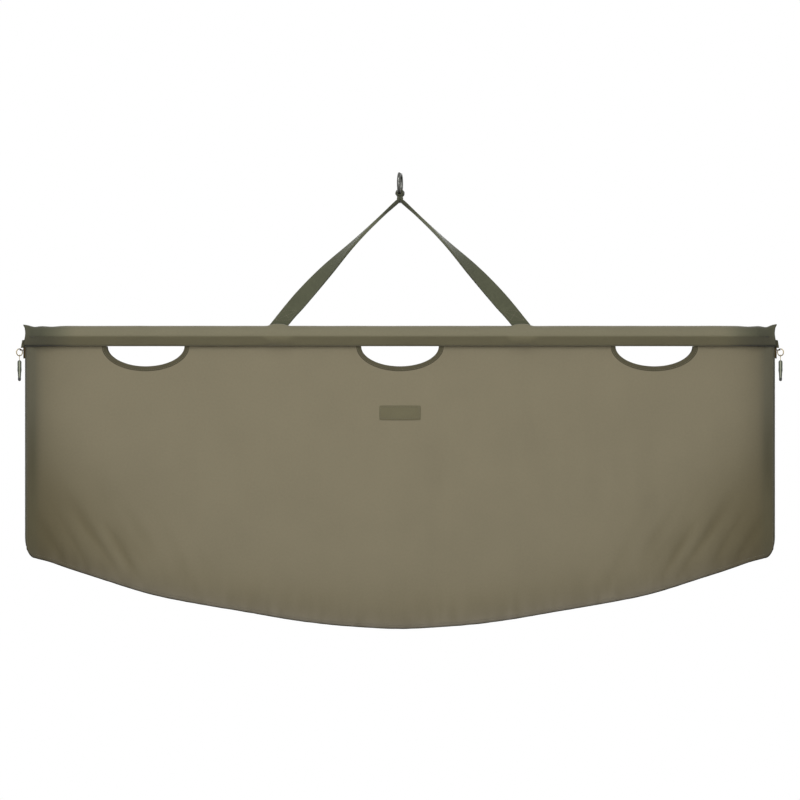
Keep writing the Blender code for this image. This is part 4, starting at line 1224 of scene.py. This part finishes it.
class OBJECT_OT_sling_panels(bpy.types.Operator):
    """Models the front and rear cloth panels, with folds, creases and puckered seams"""

    bl_idname = "object.sling_panels"
    bl_label = "Cloth panels"

    ROWS = 104

    def execute(self, context):
        for where, side in SIDES:
            halves = [self.half(where, side, hand, end) for hand, end in HANDS]
            self.match_middle(halves)
            for half, (hand, end) in zip(halves, HANDS):
                bend_to_keel(half, where)
                self.declare(half, where)
                self.top_stitch(where, side, hand, end)
                self.bottom_stitch(where, side, hand, end)
        return {"FINISHED"}

    def half(self, where, side, hand, end):
        """Half of a panel, from the sling's middle to its turned-in hem."""
        places = panel_columns()
        hem_columns = 10

        def place(column, row):
            down = row / self.ROWS
            if column >= len(places):
                across = mix(1, HEM_ACROSS, (column - len(places) + 1) / hem_columns)
                point = hem_point(side, end, across, down)
                return point, (end * (PANEL_HALF + (1 - across) * 26 * MM), point.z)
            x = end * places[column]
            z = mix(panel_top(x), panel_bottom(x), down)
            z -= hand_hole_dip(x, UNDER_BINDING) * max(0.0, 1 - down / 0.2) ** 1.5
            return Vector((x, side * panel_depth(x, z, side), z)), (x, z)

        panel = cloth_grid(f"{where}_{hand}_cloth_panel", len(places) - 1 + hem_columns, self.ROWS, place)
        give_wall(panel, sizes().cloth_thickness)
        painted_shading(panel, panel_painted_shading)
        finish_piece(panel, "cloth", "olive_cloth", None, where + "_panel")
        return panel

    def match_middle(self, halves):
        """Gives the halves the same normals where they meet, so that no line shows between them."""
        for half in halves:
            normals = [vertex.normal.copy() for vertex in half.data.vertices]
            for vertex in half.data.vertices:
                if abs(vertex.co.x) < 0.3 * MM:
                    normals[vertex.index] = Vector((0, vertex.normal.y, vertex.normal.z)).normalized()
            half.data.normals_split_custom_set_from_vertices(normals)

    def declare(self, half, where):
        """Does nothing to the half."""

    def top_stitch(self, where, side, hand, end):
        """A row of stitches under the sleeve, between the hand holes."""
        reach = HAND_HOLE_WIDTH / 2 + BINDING_WIDTH + 1 * MM
        runs = [(reach, HAND_HOLE_X - reach), (HAND_HOLE_X + reach, PANEL_HALF - 2 * MM)]
        lines = [line_on_panel(side, end, *run, 80, lambda x: panel_top(x) - 3 * MM) for run in runs]
        stitch_row(
            f"{where}_{hand}_sleeve_stitch", lines, Vector((0, side, 0)), "olive_cloth", where + "_side")

    def bottom_stitch(self, where, side, hand, end):
        """A row of stitches above the bottom seam."""
        line = line_on_panel(side, end, 0, PANEL_HALF - 1 * MM, 140, lambda x: panel_bottom(x) + 5 * MM)
        stitches = stitch_row(
            f"{where}_{hand}_bottom_stitch", [line], Vector((0, side, 0)), "olive_cloth", None)
        bend_to_keel(stitches, where)


class OBJECT_OT_sling_bindings(bpy.types.Operator):
    """Models the binding tape along each hand hole's curved edge, and its stitches"""

    bl_idname = "object.sling_bindings"
    bl_label = "Hand hole bindings"

    ALONG = 64
    AROUND = 20

    def execute(self, context):
        for where, side in SIDES:
            for name, middle in (("left", -HAND_HOLE_X), ("middle", 0), ("right", HAND_HOLE_X)):
                self.binding(where, side, name, middle)
        return {"FINISHED"}

    def point(self, middle, side, along, out, lift):
        """A point on the tape: along the hole's edge, out from it, and lifted off the cloth's middle."""
        turn = math.pi * along
        x = middle - (HAND_HOLE_WIDTH / 2 + out) * math.cos(turn)
        z = grip_top_z - (HAND_HOLE_DEPTH + out) * math.sin(turn)
        return Vector((x, side * (panel_depth(x, z, side) + lift), z))

    def binding(self, where, side, name, middle):
        """Tape folded over the edge of one hand hole."""
        half_width = BINDING_WIDTH / 2
        thick = 1.25 * MM

        def place(column, row):
            along = column / self.ALONG
            turn = math.tau * row / self.AROUND
            flat = fuller(math.sin(turn), 0.6)
            reach = fuller(math.cos(turn), 0.8)
            pucker = 0.12 * MM * math.sin(along * 150)
            out = half_width - reach * half_width
            lift = flat * thick + pucker * (1 - abs(reach))
            run = along * math.pi * (HAND_HOLE_WIDTH / 2 + HAND_HOLE_DEPTH) / 2
            return self.point(middle, side, along, out, lift), (run, turn / math.tau * 2 * BINDING_WIDTH)

        tape = cloth_grid(f"{where}_{name}_binding_tape", self.ALONG, self.AROUND, place)
        edit(tape, weld, fill_ends)
        body = where + "_side"
        finish_piece(tape, "tape", "binding_tape", body, f"{where}_{name}_grip_binding")
        sharp_by_angle(tape, 60)
        lines = []
        for lift in (thick * 1.02, -thick * 1.02):
            lines.append([self.point(middle, side, mix(0.02, 0.98, step / 60), BINDING_WIDTH - 2 * MM, lift)
                          for step in range(61)])
        stitch_row(f"{where}_{name}_binding_stitch", lines, Vector((0, side, 0)), "binding_tape", body)


class OBJECT_OT_sling_patch(bpy.types.Operator):
    """Models the bare woven patch on the front, with its stitched border"""

    bl_idname = "object.sling_patch"
    bl_label = "Front patch"

    def execute(self, context):
        middle_z = (patch_low.z + patch_high.z) / 2
        half_width, half_height = patch_high.x, (patch_high.z - patch_low.z) / 2
        columns, rows = 48, 18

        def on_panel(x, z, lift):
            return Vector((x, -panel_depth(x, z, -1) - lift, z))

        def place(column, row):
            across, down = 2 * column / columns - 1, 2 * row / rows - 1
            corner = 1 - 0.022 * (abs(across * down)) ** 6
            x = half_width * across * corner
            z = middle_z - half_height * down * corner
            edge = max(abs(across), abs(down)) ** 10
            return on_panel(x, z, mix(1.25 * MM, 1.0 * MM, edge)), (x, z)

        patch = cloth_grid("woven_patch", columns, rows, place)
        give_wall(patch, 0.7 * MM)
        apply_modifier(patch, "BEVEL", width=0.2 * MM, segments=2, limit_method="ANGLE")
        finish_piece(patch, "patch", "label", "front_side", "label_patch")
        inset = 2.2 * MM
        corners = [(-1, -1), (1, -1), (1, 1), (-1, 1), (-1, -1)]
        line = []
        for (x0, z0), (x1, z1) in zip(corners, corners[1:]):
            for step in range(20):
                x = mix(x0, x1, step / 20) * (half_width - inset)
                z = middle_z + mix(z0, z1, step / 20) * (half_height - inset)
                line.append(on_panel(x, z, 1.65 * MM))
        line.append(line[0])
        stitch_row("patch_stitch", [line], Vector((0, -1, 0)), "label", "front_side", 2.4 * MM)
        return {"FINISHED"}


class OBJECT_OT_sling_bottom_seam(bpy.types.Operator):
    """Models the puckered tape in the curved bottom seam"""

    bl_idname = "object.sling_bottom_seam"
    bl_label = "Bottom seam"

    RUN = 260
    CORNER = 10
    AROUND = 12

    def execute(self, context):
        half_height = BOTTOM_SEAM_WIDTH / 2
        middle = BOTTOM_SEAM_SHOWS - half_height

        def place(column, row):
            step = column - self.CORNER
            turn = math.tau * row / self.AROUND
            radial = middle + half_height * fuller(math.cos(turn), 0.7)
            lift = 0.65 * MM * fuller(math.sin(turn), 0.6)
            if 0 <= step <= self.RUN:
                x = mix(-PANEL_HALF, PANEL_HALF, step / self.RUN)
                below = smooth_between(radial, -0.3 * MM, BOTTOM_SEAM_SHOWS)
                wave = 0.5 * MM * below * ripple(x, 0, 9 * MM, 1, 5.5)
                drop = 0.25 * MM * below * ripple(x, 0, 12 * MM, 1, 8.5)
                return Vector((x, lift + wave, panel_bottom(x) - radial + drop)), (x, radial + lift)
            end = -1 if step < 0 else 1
            past = -step if step < 0 else step - self.RUN
            angle = CORNER_SEAM_TURN * past / self.CORNER
            x = end * (PANEL_HALF + (CORNER_REACH_ACROSS + radial) * math.sin(angle))
            z = corner_centre_z - (CORNER_REACH_DOWN + radial) * math.cos(angle)
            return Vector((x, lift, z)), (x, radial + lift)

        seam = cloth_grid("seam_tape", self.RUN + 2 * self.CORNER, self.AROUND, place)
        edit(seam, weld, fill_ends)
        finish_piece(seam, "seam", "binding_tape", "keel", "bottom_seam")
        sharp_by_angle(seam, 60)
        return {"FINISHED"}


class OBJECT_OT_sling_zips(bpy.types.Operator):
    """Models the zip tapes, coils of teeth and bottom stops"""

    bl_idname = "object.sling_zips"
    bl_label = "Zip chains"

    def execute(self, context):
        for hand, end in HANDS:
            for where, side in SIDES:
                tape = self.tape(where, side, hand, end)
                flap = self.tape_end(where, side, hand, end)
                self.coil(where, side, hand, end)
            self.stop(hand, end)
        return {"FINISHED"}

    def tape(self, where, side, hand, end):
        """The woven tape between the teeth and the hem of the cloth, under which it is sewn."""
        columns, rows, behind = 12, 100, 4

        def place(column, row):
            if column < behind:
                point = hem_point(side, end, 0, row / rows)
                share = column / behind
                point.y = side * mix(0.1 * MM, TAPE_START_DEPTH - 0.4 * MM, share)
                point.x -= end * mix(1.6 * MM, 1.2 * MM, share ** 3)
                return point, (share * 3 * MM, point.z)
            share = (column - behind) / (columns - behind)
            point = hem_point(side, end, mix(0, HEM_ACROSS + 0.08, share), row / rows)
            point.y -= side * 0.9 * MM * share
            return point, ((3 + 9 * share) * MM, point.z)

        tape = cloth_grid(f"{hand}_{where}_woven_tape", columns, rows, place)
        give_wall(tape, TAPE_THICKNESS)
        finish_piece(tape, "zip_tape", "zip_tape", None, f"{hand}_{where}_zip_tape")
        bend_to_keel(tape, where)
        line = [hem_point(side, end, HEM_ACROSS + 0.12, mix(0.01, 0.985, step / 60))
                + Vector((end * 0.25 * MM, side * 0.5 * MM, 0)) for step in range(61)]
        stitches = stitch_row(
            f"{hand}_{where}_hem_stitch", [line], Vector((end * 0.6, side * 0.8, 0)), "zip_tape", None)
        bend_to_keel(stitches, where)
        return tape

    def tape_end(self, where, side, hand, end):
        """The tape's cut top end, which stands out past the sleeve and widens as it drops."""
        columns, rows = 6, 10
        top_z, low_z = -263.0 * MM, -276.5 * MM
        top_width, low_width = 3.9 * MM, 6.0 * MM

        def place(column, row):
            across, down = column / columns, row / rows
            x = SLING_HALF + mix(-1.5 * MM, mix(top_width, low_width, down), across)
            z = mix(top_z - 1.5 * MM * across, low_z, down)
            y = side * (1.4 * MM + 1.6 * MM * math.sin(math.pi * across / 2) * (1 - 0.4 * down))
            return Vector((end * x, y, z)), (x, z)

        flap = cloth_grid(f"{hand}_{where}_tape_end", columns, rows, place)
        give_wall(flap, 0.9 * MM)
        apply_modifier(flap, "BEVEL", width=0.2 * MM, segments=2, limit_method="ANGLE")
        finish_piece(flap, "zip_tape", "zip_tape", where + "_side")
        return flap

    def coil(self, where, side, hand, end):
        """A coil of teeth: wire wound about an upright line, half a turn off the coil that it meshes with."""
        pitch = sizes().coil_pitch
        wire = 0.42 * MM
        turns = int((COIL_TOP_Z - COIL_BOTTOM_Z - 2 * wire) / pitch - 0.5)
        coil = start_from(
            bpy.ops.mesh.primitive_circle_add, f"{hand}_{where}_coil_teeth", vertices=6, radius=wire,
            location=(COIL_RADIUS - wire, 0, 0), rotation=(math.pi / 2, 0, 0))
        apply_modifier(coil, "SCREW", axis="Z", screw_offset=pitch, iterations=turns, steps=8, render_steps=8,
                       use_merge_vertices=False, merge_threshold=0.01 * MM)
        edit(coil, fill_ends)
        meshed = pitch / 2 if side > 0 else 0
        coil.location = (end * COIL_X, side * (COIL_RADIUS - 0.35 * MM), COIL_BOTTOM_Z + wire + meshed)
        apply_place(coil)
        for vertex in coil.data.vertices:
            vertex.co.x -= end * corner_shift(vertex.co.z)
        finish_piece(coil, "coil", "zip_coil", None, f"{hand}_{where}_zip_coil")
        bend_to_keel(coil, where)

    def stop(self, hand, end):
        """A pressed metal stop across both coils."""
        middle = (stop_high + stop_low) / 2
        stop = start_from(
            bpy.ops.mesh.primitive_cube_add, f"{hand}_metal_stop", scale=stop_high - stop_low, size=1,
            location=(end * (middle.x - corner_shift(middle.z)), 0, middle.z))
        edit(stop, lambda: bpy.ops.mesh.bevel(offset=0.7 * MM, segments=3, affect="EDGES"))
        finish_piece(stop, "bronze", "bronze", "keel", f"{hand}_zip_stop")
        sharp_by_angle(stop)


class OBJECT_OT_sling_sliders(bpy.types.Operator):
    """Models the zip sliders, wire pull rings and moulded pulls"""

    bl_idname = "object.sling_sliders"
    bl_label = "Zip sliders and pulls"

    # Each moulding of a pull: its finish, half depth and profile
    MOULDINGS = (
        ("grip", "grip", 1.5 * MM, ((0.00, 0.55), (0.03, 0.86), (0.08, 1.00), (0.30, 0.97), (0.48, 1.04),
                                    (0.62, 0.82), (0.80, 0.72), (0.92, 0.66))),
        ("core", "grip_core", 3.9 * MM, ((0.04, 0.40), (0.06, 0.46), (0.30, 0.47), (0.60, 0.42),
                                         (0.82, 0.33), (0.84, 0.24))),
        ("tip", "grip_tip", 1.6 * MM, ((0.83, 0.62), (0.85, 0.76), (0.94, 0.74), (0.98, 0.56), (1.00, 0.28))),
    )

    def execute(self, context):
        for hand, end in HANDS:
            self.slider(hand, end)
            self.pull_ring(hand, end)
            self.pull(hand, end)
        return {"FINISHED"}

    def slider(self, hand, end):
        """Two plates joined by a wedge, with lips round the coils and a bail for the pull's ring."""
        outer = slider_face_x + 0.6 * MM - SLIDER_PLATE / 2
        inner = COIL_X - COIL_RADIUS - 1.3 * MM - SLIDER_PLATE / 2
        plate = (SLIDER_PLATE, slider_high.y - slider_low.y, slider_length)
        body = self.shield((end * outer, 0, slider_middle_z), plate, 0.35 * MM, 3)
        inside = self.shield((end * inner, 0, slider_middle_z), plate, 0.35 * MM, 3)
        lip_depth, lip_y = 2.6 * MM, slider_high.y - 0.9 * MM
        lips = [self.shield((end * (outer - lip_depth / 2), side * lip_y, slider_middle_z),
                            (lip_depth, 1 * MM, slider_length * 0.96), 0.25 * MM, 2) for side in (-1, 1)]
        wedge = start_from(
            bpy.ops.mesh.primitive_cone_add, "wedge", scale=(1.35, 1, 1), vertices=24, radius1=1.5 * MM,
            radius2=0.15 * MM, depth=6 * MM, rotation=(math.pi, 0, 0),
            location=(end * (outer + inner) / 2, 0, SLIDER_TOP_Z - 3.4 * MM))
        slider = join(body, inside, wedge, self.bail(end, outer), *lips)
        slider.name = f"{hand}_cast_slider"
        finish_piece(slider, "bronze", "bronze", f"{hand}_slider", f"{hand}_zip_slider")
        sharp_by_angle(slider)

    def shield(self, place, size, bevel, segments):
        """A plate shaped like a shield: square shoulders, drawn in towards its lower end."""
        plate = start_from(bpy.ops.mesh.primitive_cube_add, "plate", scale=size, size=1, location=place)
        edit(plate, lambda: bpy.ops.mesh.subdivide(number_cuts=5))
        for vertex in plate.data.vertices:
            down = (SLIDER_TOP_Z - vertex.co.z) / slider_length
            vertex.co.y *= mix(0.86, 1.0, smooth(down * 5)) * mix(1.0, 0.72, smooth_between(down, 0.35, 1.0))
        apply_modifier(plate, "BEVEL", width=bevel, segments=segments, limit_method="ANGLE",
                       angle_limit=math.radians(40))
        return plate

    def bail(self, end, outer):
        """The bent wire on the slider's face that carries the pull ring."""
        z = SLIDER_TOP_Z - BAIL_BELOW_TOP
        reach = slider_face_x + BAIL_REACH
        side = 3.5 * MM
        curve = bpy.data.curves.new("bail", "CURVE")
        curve.dimensions = "3D"
        curve.bevel_depth = BAIL_WIRE_RADIUS
        curve.bevel_resolution = 3
        curve.use_fill_caps = True
        line = curve.splines.new("POLY")
        points = [(outer, -side)]
        for step in range(17):
            turn = math.pi * (step / 16 - 0.5)
            points.append((reach - side / 2 * (1 - math.cos(turn)), side * math.sin(turn)))
        points.append((outer, side))
        line.points.add(len(points) - 1)
        for point, (x, y) in zip(line.points, points):
            point.co = (end * x, y, z, 1)
        bail = bpy.data.objects.new("bail", curve)
        bpy.context.scene.collection.objects.link(bail)
        pick(bail)
        bpy.ops.object.convert(target="MESH")
        bail = bpy.context.object
        edit(bail, weld, face_out)
        return bail

    def pull_ring(self, hand, end):
        """The wire ring in the bail, turned part of the way round."""
        wire = (pull_ring_high.y - pull_ring_low.y) / 2
        radius = (pull_ring_high.x - pull_ring_low.x) / 2 - wire
        middle = (pull_ring_high + pull_ring_low) / 2
        ring = start_from(
            bpy.ops.mesh.primitive_torus_add, f"{hand}_wire_pull_ring", major_radius=radius,
            minor_radius=wire, major_segments=64, minor_segments=16,
            location=(end * middle.x, 0, middle.z), rotation=(math.pi / 2, 0, -end * PULL_RING_TURN))
        finish_piece(ring, "brass", "bronze", f"{hand}_hook", f"{hand}_pull_ring")

    def pull(self, hand, end):
        """A grip with a lighter core and a dark tip, on a thin wire neck that ends in an eye."""
        x = end * ((tab_high + tab_low) / 2).x
        eye_z = pull_ring_low.z + (pull_ring_high.y - pull_ring_low.y) / 2
        eye_radius, wire = 1.4 * MM, 0.5 * MM
        tab_top, neck_top = eye_z - PULL_NECK_LENGTH, eye_z - eye_radius
        eye = start_from(
            bpy.ops.mesh.primitive_torus_add, f"{hand}_pull_wire", major_radius=eye_radius, minor_radius=wire,
            major_segments=24, minor_segments=10, location=(x, 0, eye_z), rotation=(0, math.pi / 2, 0))
        neck = start_from(
            bpy.ops.mesh.primitive_cylinder_add, "neck", vertices=12, radius=wire,
            depth=neck_top - tab_top + 2 * MM, location=(x, 0, (neck_top + tab_top - 2 * MM) / 2))
        finish_piece(join(eye, neck), "brass", "bronze", f"{hand}_eye")
        for part, finish, half_depth, profile in self.MOULDINGS:
            piece = self.moulding(f"{hand}_pull_{part}", x, tab_top, half_depth, profile)
            stands_for = [f"{hand}_pull_tab"] if part == "grip" else []
            finish_piece(piece, finish, "pull_rubber", f"{hand}_eye", *stands_for)
            sharp_by_angle(piece, 50)

    def moulding(self, name, x, top, half_depth, profile):
        """An oval drawn down through a profile of (share of the way down, share of the width)."""
        length = top - tab_low.z
        drop, width = profile[0]
        piece = start_from(
            bpy.ops.mesh.primitive_circle_add, name, scale=(GRIP_HALF_WIDTH * width, half_depth * width, 1),
            vertices=20, radius=1, fill_type="NGON", location=(x, 0, top - drop * length))

        def draw_down():
            for (start, before), (stop, after) in zip(profile, profile[1:]):
                bpy.ops.mesh.extrude_region_move(
                    TRANSFORM_OT_translate={"value": (0, 0, -(stop - start) * length)})
                bpy.ops.transform.resize(
                    value=(after / before, after / before, 1), center_override=(x, 0, top - stop * length))
            bpy.ops.mesh.select_all(action="SELECT")

        edit(piece, draw_down, face_out)
        apply_modifier(piece, "BEVEL", width=0.25 * MM, segments=2, limit_method="ANGLE",
                       angle_limit=math.radians(50))
        return piece


class OBJECT_OT_sling_poles(bpy.types.Operator):
    """Gives the poles and their end plugs their materials"""

    bl_idname = "object.sling_poles"
    bl_label = "Poles and plugs"

    def execute(self, context):
        for where in ("front", "rear"):
            names = {f"{where}_pole": "aluminium", f"{where}_left_pole_plug": "plug",
                     f"{where}_right_pole_plug": "plug"}
            for name, finish in names.items():
                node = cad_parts[name]
                node.data.materials.clear()
                node.data.materials.append(finish_named(finish))
        return {"FINISHED"}


class OBJECT_OT_sling_stage(bpy.types.Operator):
    """Sets the pale floor, studio light and camera"""

    bl_idname = "object.sling_stage"
    bl_label = "Stage"

    PHOTO_SCALE = 1.5957 * MM
    PHOTO_WIDTH = 800
    HANG_POINT_ROW = 174.5
    CAMERA_DISTANCE = 8.2
    FLOOR_Z = -1.3

    def execute(self, context):
        self.floor()
        self.light(context)
        self.camera(context)
        context.scene.view_settings.view_transform = "Standard"
        return {"FINISHED"}

    def floor(self):
        """A matt floor that fades to the photo's white before its rim."""
        deselect()
        bpy.ops.mesh.primitive_circle_add(
            vertices=96, radius=1.9, fill_type="NGON", location=(0, 0, self.FLOOR_Z))
        floor = bpy.context.object
        floor.name = "studio_floor"
        material, tree, shader = new_material("matt_floor_paint", srgb("#f0efec"), 0.9)
        place = add_node(tree, "ShaderNodeTexCoord", {})
        level = add_node(tree, "ShaderNodeVectorMath", {0: place.outputs["Object"], 1: (1, 1, 0)},
                         operation="MULTIPLY")
        away = add_node(tree, "ShaderNodeVectorMath", {0: level}, operation="LENGTH")
        pale = add_node(tree, "ShaderNodeMapRange", {"Value": away.outputs["Value"], "From Min": 0.5,
                                                     "From Max": 1.8, "To Min": 0.55, "To Max": 1.0},
                        interpolation_type="SMOOTHSTEP")
        path = add_node(tree, "ShaderNodeLightPath", {})
        share = add_node(tree, "ShaderNodeMath", {0: pale, 1: path.outputs["Is Camera Ray"]},
                         operation="MULTIPLY")
        white = add_node(tree, "ShaderNodeEmission", {"Color": srgb("#ffffff"), "Strength": 1.0})
        seen = add_node(tree, "ShaderNodeMixShader", {0: share, 1: shader, 2: white})
        clear = add_node(tree, "ShaderNodeBsdfTransparent", {})
        underneath = add_node(tree, "ShaderNodeNewGeometry", {})
        shown = add_node(tree, "ShaderNodeMixShader",
                         {0: underneath.outputs["Backfacing"], 1: seen, 2: clear})
        feed(tree, tree.nodes["Material Output"], {"Surface": shown})
        grain = add_node(tree, "ShaderNodeTexNoise", {"Vector": place.outputs["Object"], "Scale": 60.0})
        rolled = add_node(tree, "ShaderNodeBump", {"Height": grain.outputs["Fac"], "Strength": 0.05,
                                                   "Distance": 0.2 * MM})
        feed(tree, shader, {"Normal": rolled})
        floor.data.materials.append(material)

    def light(self, context):
        """A white surround that lights little by itself, and three square lamps."""
        world = bpy.data.worlds.new("studio")
        context.scene.world = world
        world.use_nodes = True
        tree = world.node_tree
        tree.nodes.clear()
        path = add_node(tree, "ShaderNodeLightPath", {})
        seen = add_node(tree, "ShaderNodeMath", {0: path.outputs["Is Camera Ray"],
                                                 1: path.outputs["Is Transmission Ray"]}, operation="MAXIMUM")
        ambient = add_node(tree, "ShaderNodeBackground", {"Color": srgb("#ffffff"), "Strength": 0.12})
        white = add_node(tree, "ShaderNodeBackground", {"Color": srgb("#ffffff"), "Strength": 1.0})
        glossy = add_node(tree, "ShaderNodeMath", {0: seen, 1: path.outputs["Is Glossy Ray"]},
                          operation="MAXIMUM")
        shade = add_node(tree, "ShaderNodeMixShader", {0: glossy, 1: ambient, 2: white})
        add_node(tree, "ShaderNodeOutputWorld", {"Surface": shade})
        lamps = (("front", (0, -2.6, 0.1), 1.1, 25), ("above", (-0.35, -1.9, 1.7), 1.5, 39),
                 ("behind", (0.3, 2.3, 0.9), 1.4, 30))
        for name, place, size, power in lamps:
            data = bpy.data.lights.new(name, "AREA")
            data.shape = "SQUARE"
            data.size = size
            data.energy = power
            lamp = bpy.data.objects.new(name, data)
            context.scene.collection.objects.link(lamp)
            lamp.location = place
            aim = Vector((0, 0, -0.42)) - Vector(place)
            lamp.rotation_euler = aim.to_track_quat("-Z", "Y").to_euler()

    def camera(self, context):
        """Straight from the front and far off, framed as the photograph is."""
        data = bpy.data.cameras.new("photo")
        camera = bpy.data.objects.new("photo", data)
        context.scene.collection.objects.link(camera)
        rows_below = self.PHOTO_WIDTH / 2 - self.HANG_POINT_ROW
        camera.location = (0, -self.CAMERA_DISTANCE - POLE_DEPTH, -rows_below * self.PHOTO_SCALE)
        camera.rotation_euler = (math.pi / 2, 0, 0)
        data.sensor_width = 36
        data.lens = data.sensor_width * self.CAMERA_DISTANCE / (self.PHOTO_WIDTH * self.PHOTO_SCALE)
        data.clip_end = 50
        context.scene.camera = camera


class VIEW3D_PT_weigh_sling(bpy.types.Panel):
    """Lists the sling's pieces"""

    bl_idname = "VIEW3D_PT_weigh_sling"
    bl_label = "Weigh Sling"
    bl_space_type = "VIEW_3D"
    bl_region_type = "UI"
    bl_category = "Weigh Sling"

    def draw(self, context):
        for group in (context.scene.weigh_sling_sizes, context.scene.weigh_sling_colours):
            for name in group.__annotations__:
                self.layout.prop(group, name)
        for operator in OPERATORS:
            self.layout.operator(operator.bl_idname)


OPERATORS = (
    OBJECT_OT_sling_ring, OBJECT_OT_sling_straps, OBJECT_OT_sling_sleeves, OBJECT_OT_sling_panels,
    OBJECT_OT_sling_bindings, OBJECT_OT_sling_patch, OBJECT_OT_sling_bottom_seam, OBJECT_OT_sling_zips,
    OBJECT_OT_sling_sliders, OBJECT_OT_sling_poles, OBJECT_OT_sling_stage,
)
CLASSES = (WeighSlingSizes, WeighSlingColours, *OPERATORS, VIEW3D_PT_weigh_sling)


def register():
    for item in CLASSES:
        bpy.utils.register_class(item)
    bpy.types.Scene.weigh_sling_sizes = bpy.props.PointerProperty(type=WeighSlingSizes)
    bpy.types.Scene.weigh_sling_colours = bpy.props.PointerProperty(type=WeighSlingColours)


def unregister():
    del bpy.types.Scene.weigh_sling_colours
    del bpy.types.Scene.weigh_sling_sizes
    for item in reversed(CLASSES):
        bpy.utils.unregister_class(item)


def main():
    register()
    bpy.ops.object.sling_ring()
    bpy.ops.object.sling_straps()
    bpy.ops.object.sling_sleeves()
    bpy.ops.object.sling_panels()
    bpy.ops.object.sling_bindings()
    bpy.ops.object.sling_patch()
    bpy.ops.object.sling_bottom_seam()
    bpy.ops.object.sling_zips()
    bpy.ops.object.sling_sliders()
    bpy.ops.object.sling_poles()
    bpy.ops.object.sling_stage()
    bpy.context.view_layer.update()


if __name__ == "__main__":
    main()
